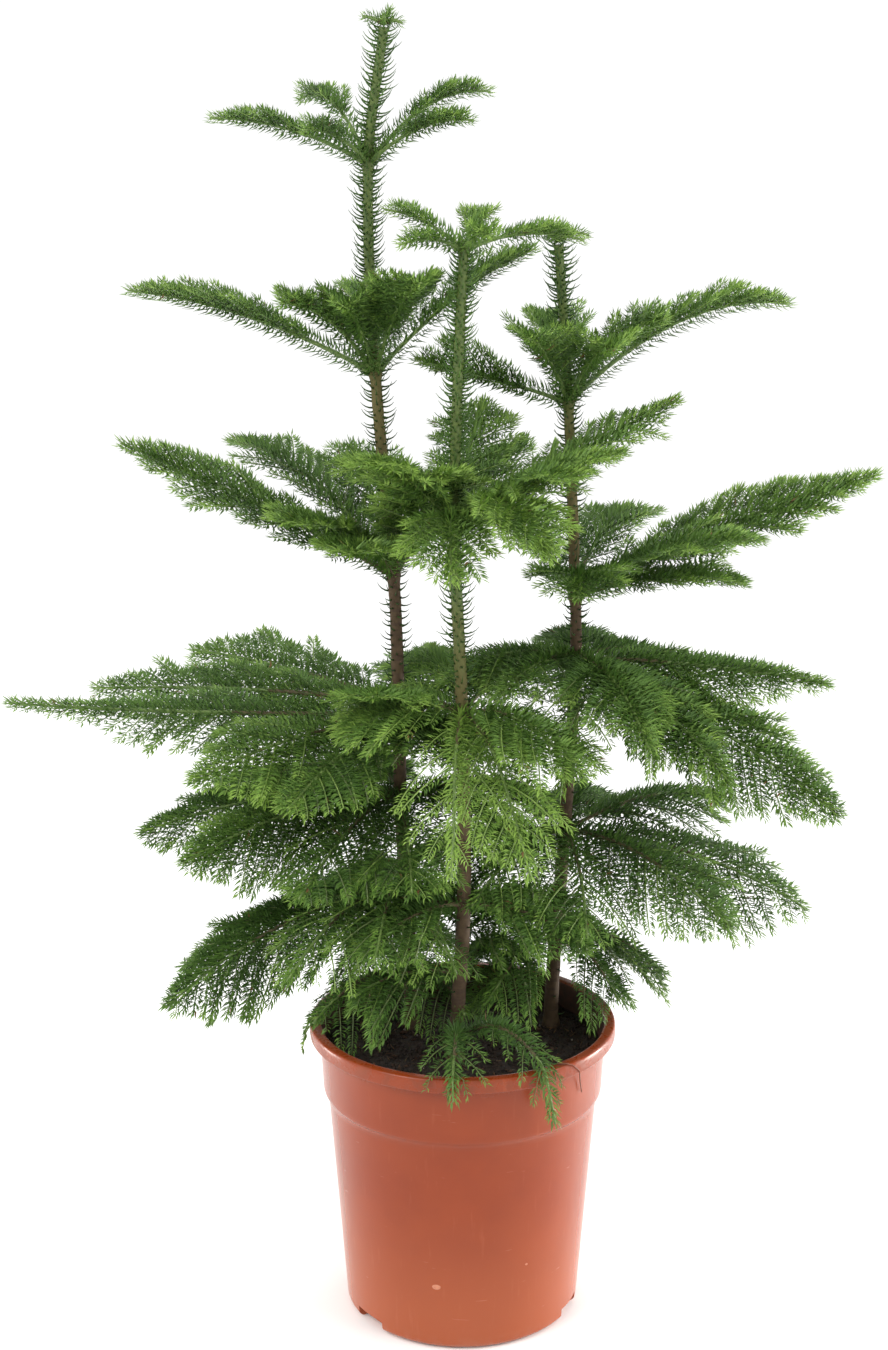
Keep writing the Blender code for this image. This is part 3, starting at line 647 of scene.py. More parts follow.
def makeCompost():
    made = {}
    for name, (tones, scale) in compost["materials"].items():
        made[name] = driftMaterial(
            name, compost["rough"], tones, scale, grain=compost["grain"])

    def swell(rows):
        lumps = np.zeros(rows.shape[:2])
        for k, row in enumerate(rows[:compost["rings"]]):
            lumps[k] = [compostHeight(x, y) for x, y, _ in row]
        return lumps

    points, faces = turned(compostProfile(), compost["steps"], swell)
    points[-2, 2] += compostHeight(0.0, 0.0)
    bed = makePiece("compostBed", points, faces, [made["darkPeat"]])
    finishPiece(bed, ["soil"])
    for name, (material, *bits) in compost["bits"].items():
        piece = makePiece(name, *scattered(*bits), [made[material]], smooth=False)
        finishPiece(piece)


# Stems: bends as (height, x, y), the heights between which the bark turns green, and how much
# fresher the needles are

stems = {
    "left": {
        "bends": (
            (0.188, -0.0355, 0.030), (0.357, -0.0425, 0.032), (0.414, -0.0432, 0.033),
            (0.510, -0.0465, 0.034), (0.644, -0.0575, 0.032), (0.778, -0.0610, 0.028),
            (0.862, -0.0505, 0.026)),
        "green": (0.600, 0.740), "fresh": 0.0},
    "middle": {
        "bends": (
            (0.188, -0.0046, -0.0277), (0.300, 0.0005, -0.030), (0.432, -0.0010, -0.031),
            (0.552, -0.0060, -0.033), (0.650, -0.0040, -0.034), (0.733, -0.0002, -0.034)),
        "green": (0.420, 0.530), "fresh": 0.7},
    "right": {
        "bends": (
            (0.188, 0.0625, 0.032), (0.324, 0.0700, 0.034), (0.452, 0.0765, 0.036),
            (0.502, 0.0752, 0.036), (0.625, 0.0690, 0.034), (0.728, 0.0610, 0.030)),
        "green": (0.560, 0.680), "fresh": 0.2},
}
stemForm = {
    "footRadius": 0.0050, "tipRadius": 0.0029, "flareRadius": 0.0016, "flareHeight": 0.014,
    "sides": 24, "ringStep": 0.0017, "nodeSwell": 0.0011, "nodeHeight": 0.0035,
    "barkRelief": 0.00040, "cushionRelief": 0.00034,
    "sunk": 0.003, "tipRise": 0.0005,
    # Leaf cushions: how many round the stem, and their two slants in radians to the metre
    "cushions": 2.5, "slants": (380.0, 290.0), "cushionPower": 0.6, "cushionSunk": 0.4,
    # Bark's relief in layers of (lumps across the stem, to the metre along it, share), and how
    # much of it a green stem lacks
    "barkLayers": ((1.3, 420.0, 0.6), (0.7, 110.0, 1.0)), "greenSmoother": 0.75,
    "barkTones": ((0.068, 0.040, 0.019), (0.100, 0.064, 0.031)),
    "ringTone": (0.055, 0.030, 0.020), "ringShare": 0.6, "oliveTone": (0.115, 0.095, 0.030),
    "greenTones": ((0.055, 0.095, 0.014), (0.105, 0.152, 0.024)),
    # Where the colour turns olive and then green, in metres from where the stem's green begins
    # and ends, and how far clouds shift it
    "oliveFrom": 0.03, "oliveTo": 0.07, "greenFrom": 0.06, "greenTo": 0.05, "cloudShift": 0.10,
    "roughness": (0.82, 0.48),
}


def stemCurve(stem, height):
    # Smooth centre line through the stem's bends, upright at the foot
    bends = stems[stem]["bends"]
    last = len(bends) - 2
    i = next(k for k in range(last + 1) if height <= bends[k + 1][0] or k == last)
    low, high = bends[i], bends[i + 1]
    before = bends[i - 1] if i > 0 else None
    after = bends[i + 2] if i < last else None
    span = high[0] - low[0]
    share = (height - low[0]) / span
    centre = []
    for axis in (1, 2):
        slopeLow = (high[axis] - before[axis]) / (high[0] - before[0]) if before else 0.0
        chord = (high[axis] - low[axis]) / span
        slopeHigh = (after[axis] - low[axis]) / (after[0] - low[0]) if after else chord
        centre.append(
            low[axis] * (1 + 2 * share) * (1 - share) ** 2
            + high[axis] * share**2 * (3 - 2 * share)
            + span * slopeLow * share * (1 - share) ** 2
            - span * slopeHigh * share**2 * (1 - share))
    return np.array([centre[0], centre[1], height])


def stemRange(stem):
    bends = stems[stem]["bends"]
    return bends[0][0], bends[-1][0]


def stemLine(stem):
    low, high = stemRange(stem)
    heights = np.linspace(low, high, 240)
    return heights, np.array([stemCurve(stem, z) for z in heights])


stemLines = {stem: stemLine(stem) for stem in stems}


def stemCentre(stem, height):
    heights, line = stemLines[stem]
    x = np.interp(height, heights, line[:, 0])
    y = np.interp(height, heights, line[:, 1])
    return np.stack([x, y, np.asarray(height, dtype=float)], axis=-1)


def stemRadius(stem, height):
    low, high = stemRange(stem)
    share = np.clip((height - low) / (high - low), 0.0, 1.0)
    flare = np.maximum(0.0, 1.0 - (height - low) / stemForm["flareHeight"])
    return (stemForm["footRadius"] + (stemForm["tipRadius"] - stemForm["footRadius"]) * share
            + stemForm["flareRadius"] * flare**2)


def makeStemMaterial(stem):
    # Reddish brown bark below, which turns through olive to green further up
    form = stemForm
    low, high = stems[stem]["green"]
    material, tree, shader = newMaterial("stemSkin_" + stem, 0.7)
    bark = drifting(tree, form["barkTones"], scale=210.0, sharpness=0.3)["Color"]
    green = drifting(tree, form["greenTones"], scale=330.0, sharpness=0.4)["Color"]
    rings = effect(tree, "streaks", Stretch=(0.6, 0.6, 3.4), Scale=130.0, Threshold=0.50)["Mask"]
    brown = blended(tree, combined(tree, "MULTIPLY", rings, form["ringShare"]), bark, form["ringTone"])
    place = placeIn(tree)
    cloud = combined(tree, "MULTIPLY", noiseAt(tree, place, 60.0), form["cloudShift"])
    height = combined(tree, "ADD", heightOf(tree, place), cloud)
    olive = ranged(tree, height, low - form["oliveFrom"], low + form["oliveTo"])
    full = ranged(tree, height, low + form["greenFrom"], high + form["greenTo"])
    colour = blended(tree, full, blended(tree, olive, brown, form["oliveTone"]), green)
    tree.links.new(colour, shader.inputs["Base Color"])
    tree.links.new(ranged(tree, full, 0.0, 1.0, *form["roughness"]), shader.inputs["Roughness"])
    addGrain(tree, shader, scale=1500.0, lumps=1.4, distance=0.0003, strength=0.6)
    return material


def makeStem(stem):
    form = stemForm
    low, high = stemRange(stem)
    heights = np.arange(low - form["sunk"], high + form["tipRise"], form["ringStep"])
    path = stemCentre(stem, np.clip(heights, low, high))
    path[:, 2] = heights
    turn = np.arange(form["sides"]) * math.tau / form["sides"]
    radii = np.repeat(stemRadius(stem, np.maximum(heights, low))[:, None], form["sides"], axis=1)
    greenFrom, greenTo = stems[stem]["green"]
    green = np.clip((heights - greenFrom) / (greenTo - greenFrom), 0.0, 1.0)[:, None]
    # Leaf cushions in a lozenge pattern on the green part
    sideways, z = form["cushions"] * turn, heights[:, None]
    lozenge = np.abs(np.sin(sideways + z * form["slants"][0]))
    lozenge = lozenge * np.abs(np.sin(sideways - z * form["slants"][1]))
    cushion = lozenge**form["cushionPower"] - form["cushionSunk"]
    radii += green * form["cushionRelief"] * cushion
    rough = np.zeros_like(radii)
    for k, height in enumerate(heights):
        for j, angle in enumerate(turn):
            x, y = math.cos(angle), math.sin(angle)
            for across, along, share in form["barkLayers"]:
                at = Vector((x * across, y * across, height * along))
                rough[k, j] += share * noise.noise(at)
    radii += (1.0 - form["greenSmoother"] * green) * form["barkRelief"] * rough
    for tier in tiers:
        if tier[0] == stem:
            away = (heights - tier[1]) / form["nodeHeight"]
            radii += form["nodeSwell"] * np.exp(-away**2)[:, None]
    shape = tubes(path[None], radii[None], np.array([[1.0, 0.0, 0.0]]), form["sides"])
    piece = makePiece("stemBark_" + stem, *shape, [makeStemMaterial(stem)])
    finishPiece(piece, ["stem_" + stem])


# Tiers of branches, top down: stem, height, longest spray, degrees of lift, droop at the spray's
# tip, and the masses. A branch is its degrees from +X, and its reach, rise and arch in whole
# millimetres. Some have a roll in degrees, and some of these are of their own kind: what they
# gain in freshness, and how many times farther apart their sprays and needles stand.

tiers = (
    ("left", 0.8636, 0.007, 30, 0.000, (
        ((170, 17, 4, 2), (60, 10, 12, 0), (350, 15, -3, 4), (275, 11, 3, 2)),)),
    ("left", 0.778, 0.024, 25, 0.000, (
        ((128, 82, 38, 20), (183, 104, 28, 8), (232, 66, 20, 8)),
        ((322, 88, 26, 10), (378, 86, 44, 16)))),
    ("left", 0.644, 0.036, 25, 0.000, (
        ((178, 165, 54, 10),),
        ((226, 86, 50, 14, 0, 0.2, 0.85), (257, 80, 50, 12, 0, 0.2, 0.8),
         (288, 105, 66, 12, 0, 0.2, 0.8)),
        ((22, 118, 80, 10), (95, 110, 50, 10)))),
    ("left", 0.510, 0.050, 8, 0.006, (
        ((184, 182, 92, 4, -20, 0.3, 0.85),),
        ((108, 105, 76, 10), (146, 140, 80, 22)),
        ((228, 105, 50, 12, 0, 0.5, 0.8), (257, 115, 34, 12, 0, 0.6, 0.8),
         (286, 125, 88, 12, 0, 0.8, 0.8)),
        ((50, 149, 78, 8),))),
    ("left", 0.422, 0.056, 0, 0.010, (
        ((140, 205, 6, 4, -35), (166, 225, -4, 4, -35)),)),
    ("left", 0.414, 0.056, 0, 0.010, (
        ((186, 265, 15, -3, -20),),
        ((82, 170, 5, 12),))),
    ("left", 0.406, 0.056, 0, 0.010, (
        ((216, 165, -14, 12, -20, 0.6, 0.9), (240, 140, -26, 12, -10, 0.3, 1.0),
         (263, 120, 50, 10, 0, 0.3, 1.0), (288, 115, 4, 12, 0, -0.3, 0.8), (325, 110, -10, 12)),)),
    ("left", 0.357, 0.058, -5, 0.014, (
        ((105, 165, -20, 12), (145, 170, -20, 12)),
        ((183, 181, -26, 12, -25, 0.0, 0.85), (206, 162, -28, 12, -25, 0.0, 0.85),
         (240, 130, -40, 14), (275, 115, -36, 14), (330, 105, -30, 14), (370, 120, -16, 12)))),
    ("left", 0.290, 0.060, -10, 0.016, (
        ((196, 172, -72, 18, -45, 0.0, 0.8),),
        ((235, 135, -30, 20, -10, 0.3, 1.4), (262, 130, -10, 20, 0, 0.5, 1.5),
         (290, 105, -30, 16, 0, 0.2, 1.4), (335, 100, -30, 14)),
        ((110, 150, -50, 18), (166, 172, -80, 18, -20)))),
    ("left", 0.232, 0.048, -15, 0.026, (
        ((75, 105, -12, 14), (130, 100, -16, 12), (225, 95, -18, 12), (300, 80, -12, 12)),)),
    ("middle", 0.727, 0.020, 25, 0.000, (
        ((160, 56, 24, 6), (215, 52, 3, 6), (290, 50, 10, 6)),
        ((10, 80, 4, 8), (80, 70, 20, 6)))),
    ("middle", 0.552, 0.048, 10, 0.013, (
        ((22, 162, 78, 4, 10),),
        ((232, 88, 56, 10, 0, 0.2, 0.8), (268, 90, -22, 24, 0, 0.3, 0.85),
         (305, 105, -8, 30, 0, 0.8, 0.85), (330, 95, 42, 14), (353, 110, 52, 12)),
        ((80, 125, 69, 10), (150, 90, 40, 10)))),
    ("middle", 0.432, 0.055, 0, 0.014, (
        ((266, 105, -85, 24, 0, 1.3, 1.7), (293, 110, -86, 24, 10, 0.6, 1.15)),
        ((100, 140, 10, 10), (150, 90, -15, 12), (200, 85, -12, 12)),
        ((318, 105, -28, 16, 0, -0.1, 0.9), (420, 150, 10, 12)))),
    ("middle", 0.300, 0.045, -10, 0.014, (
        ((150, 90, -20, 10), (182, 85, -30, 12), (215, 85, -20, 10), (335, 95, -20, 10),
         (390, 100, -20, 10)),)),
    ("middle", 0.250, 0.045, -15, 0.022, (
        ((65, 85, -8, 12), (198, 80, -10, 10)),)),
    ("middle", 0.200, 0.036, 0, 0.012, (
        ((268, 92, -2, 24, 0, -0.3, 2.2), (310, 112, -12, 32, 0, -0.2, 2.0)),)),
    ("right", 0.7296, 0.009, 40, 0.000, (
        ((10, 24, 0, 6), (70, 12, 14, 0), (140, 16, 8, 2), (215, 16, 6, 2), (290, 16, 8, 2)),)),
    ("right", 0.625, 0.036, 25, 0.000, (
        ((5, 150, 63, 22),),
        ((250, 90, 50, 10), (288, 85, 42, 12), (325, 76, 58, 14)),
        ((95, 110, 50, 10), (180, 105, 30, 2, -30)))),
    ("right", 0.502, 0.050, 8, 0.006, (
        ((8, 212, 72, 4, 20, 0.4, 0.8),),
        ((65, 105, 38, 10), (125, 120, 40, 10)))),
    ("right", 0.494, 0.050, 8, 0.006, (
        ((268, 100, 18, 16), (335, 128, 48, 14, 10), (352, 118, 12, 10)),)),
    ("right", 0.452, 0.056, 0, 0.016, (
        ((354, 174, -14, 4, 20, 0.0, 0.85),),
        ((44, 120, -30, 12, 10), (85, 100, -10, 12)),
        ((207, 105, -6, 12), (236, 105, -12, 12), (262, 110, -70, 20, 0, 0.3, 1.5),
         (286, 145, -30, 16, 0, -0.1, 0.85), (310, 150, -60, 14, 20, 0.0, 0.85)))),
    ("right", 0.444, 0.056, 0, 0.012, (
        ((329, 196, -75, 14, 30, 0.0, 0.8),),)),
    ("right", 0.330, 0.058, -8, 0.016, (
        ((190, 120, -20, 12), (230, 105, -30, 14), (275, 115, -40, 16, 0, 0.2, 1.2),
         (315, 150, -35, 16, 15), (347, 170, -45, 14, 30)),
        ((28, 135, 6, 12), (80, 150, -20, 16)))),
    ("right", 0.260, 0.048, -12, 0.018, (
        ((232, 85, -35, 12), (318, 60, -45, 10), (372, 85, -46, 12), (420, 80, -40, 10),
         (475, 100, -16, 12)),)),
)

branchForm = {
    "rootRadius": 0.0011, "radiusPerReach": 0.0045, "tipRadius": 0.0007, "sides": 8,
    "knotStep": 0.004, "relief": 0.10, "wander": 0.0011, "tipShort": 0.004,
    "collarSwell": 0.55, "collarPlace": 0.005, "collarLength": 0.004,
    "taper": 0.85, "rooted": 0.3, "vigours": (0.94, 1.05), "sways": 7.0, "swayFull": 0.1,
    "lowTier": 0.240, "lowOpen": 1.5, "boughMinReach": 0.150,
    # Where along a branch it turns green, by its height
    "greenHeights": (0.25, 0.45, 0.60), "greenShares": (0.70, 0.35, 0.0),
    "skins": {
        "branchBark": {
            "rough": 0.75, "tones": ((0.085, 0.058, 0.030), (0.120, 0.110, 0.045)),
            "scale": 300.0, "sharpness": 0.3,
            "grain": {"scale": 1800.0, "lumps": 1.5, "distance": 0.0003, "strength": 0.7}},
        "branchGreen": {
            "rough": 0.55, "tones": ((0.105, 0.180, 0.045), (0.180, 0.260, 0.065)),
            "scale": 400.0, "sharpness": 0.3,
            "grain": {"scale": 1800.0, "lumps": 1.0, "distance": 0.0002, "strength": 0.5}}},
}
sprayForm = {
    "angle": 52.0, "knots": 6, "shortest": 0.006,
    # The shortest branch that bears sprays, and how far its foot and its tip stay bare
    "minReach": 0.030, "footBare": 0.012, "tipBare": 0.006,
    # By a branch's longest spray: its bare share, and the step from one spray to the next
    "sizes": (0.024, 0.036, 0.050, 0.058), "bareShares": (0.30, 0.25, 0.14, 0.12),
    "steps": (0.0074, 0.0074, 0.0080, 0.0085),
    "rootRadius": 0.00070, "tipRadius": 0.00042, "forward": 0.16, "tipShort": 0.0025,
    # Length along the branch, as (place, share of the longest)
    "places": (0.0, 0.25, 0.5, 0.7, 0.85, 1.0), "shares": (0.55, 1.0, 1.0, 0.70, 0.42, 0.16),
    # Of the branches that end in a slim arm
    "armShares": (0.55, 1.0, 0.85, 0.40, 0.28, 0.16),
    # How far one spray differs from the next: in steps or degrees to each side, or as shares
    "placeSpread": 0.16, "angleSpread": 6.0, "tiltSpread": 9.0,
    "lengths": (0.86, 1.07), "droops": (0.6, 1.4), "forwards": (0.4, 1.5),
}
clearance = {
    # Twigs keep above the rim out to so far past it, and above the compost so far inside it
    "rimOut": 0.0035, "rimIn": 0.0115, "overRim": 0.0025, "overCompost": 0.004,
    # What reaches past the rim is drawn in and down by these shares of how far it does
    "drawnIn": 0.6, "drawnDown": 0.9,
    # How far sprays keep from the middle of a stem, up to so far above its tip
    "fromStem": 0.0055, "overTip": 0.003,
    # Sprays that would need a longer lift than this are left out
    "mostLift": 0.020,
}
# Tiers whose branches end in a slim arm: stem and height
arms = (("left", 0.414), ("right", 0.452))


def makeBranch(tier, shape):
    stem, height, spray, lift, droop, _ = tier
    low = height < branchForm["lowTier"]
    usual = 0, 0, 0, 0, 0, 0.0, branchForm["lowOpen"] if low else 1.0
    degrees, reach, rise, arch, roll, gain, apart = shape + usual[len(shape):]
    reach, rise, arch = reach / 1000, rise / 1000, arch / 1000
    out, side = outAndSide(degrees)
    radius = branchForm["rootRadius"] + branchForm["radiusPerReach"] * reach
    slope = (rise + 4 * arch) / reach
    rootHeight = height + (stemRadius(stem, height) + radius) * slope
    centre = stemCentre(stem, min(rootHeight, stemRange(stem)[1]))
    centre[2] = height
    return {
        "stem": stem, "height": height, "low": low, "spray": spray, "lift": lift,
        "droop": droop, "reach": reach, "rise": rise, "arch": arch, "roll": roll,
        "out": out, "side": side, "radius": radius, "centre": centre,
        "phase": rng.uniform(0, math.tau), "vigour": rng.uniform(*branchForm["vigours"]),
        "brighter": gain, "open": apart,
    }


def branchAt(branch, share):
    share = np.asarray(share, dtype=float)[..., None]
    lift = branch["rise"] * share + branch["arch"] * 4 * share * (1 - share)
    sway = np.sin(share * branchForm["sways"] + branch["phase"]) - math.sin(branch["phase"])
    wander = branchForm["wander"] * min(1.0, branch["reach"] / branchForm["swayFull"])
    return (branch["centre"] + branch["out"] * branch["reach"] * share + up3 * lift
            + branch["side"] * wander * sway * share)


def branchHeading(branch, share):
    slope = branch["rise"] + branch["arch"] * 4 * (1 - 2 * share)
    return unit(branch["out"] * branch["reach"] + up3 * slope)


def lowestAllowed(x, y):
    # What lies over the compost or the rim keeps a little above it
    away = np.hypot(x, y)
    low = np.full_like(away, -1.0)
    low[away < pot["rimRadius"] + clearance["rimOut"]] = pot["height"] + clearance["overRim"]
    low[away < pot["rimRadius"] - clearance["rimIn"]] = compost["top"] + clearance["overCompost"]
    return low


def hungOver(paths):
    # Twigs that reach past the rim bend over it
    away = np.hypot(paths[..., 0], paths[..., 1])
    past = np.maximum(away - pot["rimRadius"] - clearance["rimOut"], 0.0)
    paths[..., :2] *= (1.0 - clearance["drawnIn"] * past / away)[..., None]
    paths[..., 2] -= clearance["drawnDown"] * past


def keptOut(paths):
    # Lifts the paths off the pot and its compost, and says which ones can stay
    low = lowestAllowed(paths[..., 0], paths[..., 1])
    stay = (low - paths[..., 2]).max(axis=1) < clearance["mostLift"]
    for _ in range(2):
        z = np.maximum(paths[..., 2], low)
        z[:, 1:-1] = 0.25 * z[:, :-2] + 0.5 * z[:, 1:-1] + 0.25 * z[:, 2:]
        paths[..., 2] = np.maximum(z, np.where(low > 0, low, z))
    return stay


def clearOfStems(paths):
    stay = np.ones(len(paths), dtype=bool)
    for stem in stems:
        low, high = stemRange(stem)
        centre = stemCentre(stem, np.clip(paths[..., 2], low, high))
        away = np.hypot(paths[..., 0] - centre[..., 0], paths[..., 1] - centre[..., 1])
        away = np.where(paths[..., 2] > high + clearance["overTip"], 1.0, away)
        stay &= away[:, 2:].min(axis=1) > clearance["fromStem"]
    return stay


def around(spread):
    return rng.uniform(-spread, spread)


def growSprays(branch):
    # Sprays in two ranks, left and right in turn, from the bare foot of the branch to its tip
    form, reach, longest = sprayForm, branch["reach"], branch["spray"]
    if reach < form["minReach"]:
        return []
    bare = np.interp(longest, form["sizes"], form["bareShares"])
    start = max(bare, form["footBare"] / reach)
    span = 1.0 - form["tipBare"] / reach - start
    step = np.interp(longest, form["sizes"], form["steps"]) * branch["open"]
    count = max(3, round(reach * span / step))
    shares = form["armShares"] if (branch["stem"], branch["height"]) in arms else form["shares"]
    grown = []
    t = np.linspace(0.0, 1.0, form["knots"])[:, None]
    for i in range(count):
        for hand, offset in ((1, 0.25), (-1, 0.75)):
            place = (i + offset + around(form["placeSpread"])) / count
            share = start + span * place
            length = longest * np.interp(place, form["places"], shares)
            length = length * branch["vigour"] * rng.uniform(*form["lengths"]) - form["tipShort"]
            angle = math.radians(form["angle"] + around(form["angleSpread"]))
            tilt = math.radians(branch["lift"] + hand * branch["roll"] + around(form["tiltSpread"]))
            droop = branch["droop"] / longest * rng.uniform(*form["droops"])
            if length < form["shortest"]:
                continue
            along = branchHeading(branch, share)
            up = np.cross(along, branch["side"])
            up = -up if up[2] < 0 else up
            away = branch["side"] * (hand * math.cos(tilt)) + up * math.sin(tilt)
            heading = along * math.cos(angle) + away * math.sin(angle)
            ahead = form["forward"] * rng.uniform(*form["forwards"])
            path = (branchAt(branch, share) + heading * length * t
                    + (along - heading) * length * ahead * t**2
                    - up3 * length * droop * t**2)
            if branch["low"]:
                hungOver(path)
            grown.append((path, up, length, place))
    return grown


# Needles, bent and keeled like the real awl-shaped leaves

needleForm = {
    "tones": {
        "needleShade": (0.018, 0.044, 0.010), "needleOld": (0.030, 0.070, 0.014),
        "needleDeep": (0.045, 0.100, 0.020), "needleMid": (0.066, 0.138, 0.027),
        "needleBright": (0.100, 0.195, 0.036), "needleFresh": (0.155, 0.275, 0.050),
        "needleTip": (0.250, 0.395, 0.075), "needleDry": (0.190, 0.105, 0.045)},
    "roughness": 0.50, "specular": 0.30, "dryShare": 0.002,
    "halfWidth": 0.00067, "bend": 0.40, "baseAngle": 86.0, "tipAngle": 52.0, "curl": 17.0,
    "keel": 0.8, "rooted": 0.6, "upturn": 0.16, "combSway": 0.7,
    # Half width goes with the length, between two shares of the usual
    "usualLength": 0.008, "widthShares": (0.75, 1.2),
    # At the foot of a spray they are shorter, and towards its end they lean, grow shorter
    # and get brighter
    "footShare": 0.6, "footRise": 4.0, "leanFrom": 0.55, "endShorter": 0.30,
    "brightFrom": 0.62, "brightWithin": 0.3, "endBrighter": 1.5,
    # How far one needle differs from the next: in radians, in tones, or as shares from and to
    "turnSpread": 0.12, "angleSpread": 0.09, "toneSpread": 0.35,
    "lengths": (0.84, 1.10), "curls": (0.7, 1.3),
    # Tone of a tier by its height: fresher growth higher up, and painted shade that darkens the low
    # tiers under the crown.
    # Also how much of its stem's own freshness a tier gets
    "heights": (0.22, 0.30, 0.42, 0.50, 0.64, 0.78, 0.87),
    "freshnessAndShade": (3.05, 3.25, 3.75, 3.7, 3.75, 3.9, 4.2),
    "litHeights": (0.26, 0.40), "litShares": (0.0, 1.0),
}


def needleShapes(base, middle, tip, width):
    # Each needle is a slim keeled blade with a bend: five points and four triangles
    along = unit(tip - base)
    across = unit(np.cross(along, np.array([0.31, -0.22, 0.93])))
    other = np.cross(along, across)
    width = width[:, None]
    left, right = middle + across * width, middle - across * width
    keel = middle + other * width * needleForm["keel"]
    points = np.stack([base, left, keel, right, tip], axis=1)
    corners = np.array([(0, 1, 2), (0, 2, 3), (4, 2, 1), (4, 3, 2)])
    faces = corners[None] + 5 * np.arange(len(base))[:, None, None]
    return points.reshape(-1, 3), faces.reshape(-1, 3)


def needlesOn(paths, ups, radii, perMetre, length, tone, flat, lift, comb):
    # Needles round each path: in a spiral, or the more of a two-sided comb the nearer comb is
    # to one. All but the paths may be one value for each path.
    form = needleForm
    count, knots = paths.shape[:2]
    tangent, up, side = framesAlong(paths, ups)
    total = np.linalg.norm(np.diff(paths, axis=1), axis=2).sum(axis=1)
    numbers = np.maximum((total * perMetre).astype(int), 3)
    owner = np.repeat(np.arange(count), numbers)

    def forEach(values):
        return np.broadcast_to(values, (count,))[owner]

    starts = np.concatenate([[0], np.cumsum(numbers)[:-1]])
    order = np.arange(numbers.sum()) - np.repeat(starts, numbers)
    u = (order + rng.uniform(0.1, 0.9, len(order))) / numbers[owner]
    spiral = (order * golden + rng.uniform(0, math.tau, count)[owner]) % math.tau
    rank = math.pi * (order % 2) + form["combSway"] * np.sin(order * golden)
    turn = np.where(rng.uniform(0, 1, len(order)) < forEach(comb), rank, spiral)
    turn = (turn + rng.normal(0, form["turnSpread"], len(order)))[:, None]
    k = np.minimum((u * (knots - 1)).astype(int), knots - 2)
    w = (u * (knots - 1) - k)[:, None]

    def between(values):
        return values[owner, k] * (1 - w) + values[owner, k + 1] * w

    ahead, above, beside = unit(between(tangent)), unit(between(up)), unit(between(side))
    flat, lift = forEach(flat)[:, None], forEach(lift)[:, None]
    radial = unit(np.cos(turn) * beside + np.sin(turn) * above * flat + above * lift)
    late = np.clip((u - form["leanFrom"]) / (1.0 - form["leanFrom"]), 0.0, 1.0)
    angle = np.radians(form["baseAngle"] + (form["tipAngle"] - form["baseAngle"]) * late)
    angle = (angle + rng.normal(0, form["angleSpread"], len(u)))[:, None]
    curl = math.radians(form["curl"]) * rng.uniform(*form["curls"], len(u))[:, None]
    size = forEach(length) * rng.uniform(*form["lengths"], len(u))
    foot = np.clip(form["footShare"] + u * form["footRise"], 0.0, 1.0)
    size = (size * (1.0 - form["endShorter"] * late) * foot)[:, None]
    base = between(paths) + radial * between(radii[..., None]) * form["rooted"]
    lower = ahead * np.cos(angle) + radial * np.sin(angle)
    bent = angle - 2 * curl
    upper = unit(ahead * np.cos(bent) + radial * np.sin(bent) + above * form["upturn"])
    middle = base + lower * size * form["bend"]
    tip = middle + upper * size * (1 - form["bend"])
    width = form["halfWidth"] * np.clip(size[:, 0] / form["usualLength"], *form["widthShares"])
    points, faces = needleShapes(base, middle, tip, width)
    bright = np.clip((u - form["brightFrom"]) / form["brightWithin"], 0.0, 1.0)
    value = forEach(tone) + form["endBrighter"] * bright
    value = value + rng.normal(0, form["toneSpread"], len(u))
    # The last tone is of dry needles, strewn over the rest
    last = len(form["tones"]) - 1
    shade = np.clip(np.round(value), 0, last - 1).astype(int)
    shade[rng.uniform(0, 1, len(u)) < form["dryShare"]] = last
    return points, faces, np.repeat(shade, 4)


# One pass over the tiers grows every branch and its sprays

def growCrown():
    grown = []
    seen = {stem: 0 for stem in stems}
    for tier in tiers:
        stem = tier[0]
        seen[stem] += 1
        for letter, shapes in zip("abcd", tier[5]):
            bough = len(shapes) == 1 and shapes[0][1] >= branchForm["boughMinReach"] * 1000
            for shape in shapes:
                branch = makeBranch(tier, shape)
                branch["tier"] = seen[stem]
                branch["mass"] = f"{stem}_{seen[stem]}{letter}"
                branch["bough"] = bough
                branch["sprays"] = growSprays(branch)
                grown.append(branch)
    return grown


def axisShape(branch):
    form = branchForm
    reach = branch["reach"]
    start = form["rooted"] * stemRadius(branch["stem"], branch["height"]) / reach
    if branch["height"] > stemRange(branch["stem"])[1]:
        start = 0.0
    end = 1.0 - min(form["tipShort"] / reach, 0.2)
    knots = max(5, round(reach / form["knotStep"]))
    shares = np.linspace(start, end, knots)
    path = branchAt(branch, shares)
    if branch["low"]:
        hungOver(path)
    keptOut(path[None])
    radii = branch["radius"] + (form["tipRadius"] - branch["radius"]) * shares**form["taper"]
    collar = np.exp(-((shares * reach - form["collarPlace"]) / form["collarLength"]) ** 2)
    radii = radii * (1 + form["collarSwell"] * collar)
    rough = rng.uniform(-1, 1, (knots, form["sides"])) * form["relief"]
    return path, radii, radii[:, None] * (1 + rough), shares


def makeBranches(crown):
    form, sides = branchForm, branchForm["sides"]
    skins = [driftMaterial(name, **skin) for name, skin in form["skins"].items()]
    for stem in stems:
        shapes, slots, replaced = [], [], []
        for branch in crown:
            if branch["stem"] != stem:
                continue
            path, radii, rough, shares = axisShape(branch)
            branch["axis"] = path, radii
            shapes.append(tubes(path[None], rough[None], up3[None], sides))
            turnGreen = np.interp(branch["height"], form["greenHeights"], form["greenShares"])
            slots.append(np.repeat(shares[:-1] > turnGreen, 2 * sides))
            slots.append(np.repeat([shares[0] > turnGreen, True], sides))
            if branch["bough"]:
                replaced.append("bough_" + branch["mass"])
        piece = makePiece("branches_" + stem, *joined(shapes), skins, np.concatenate(slots))
        finishPiece(piece, replaced)


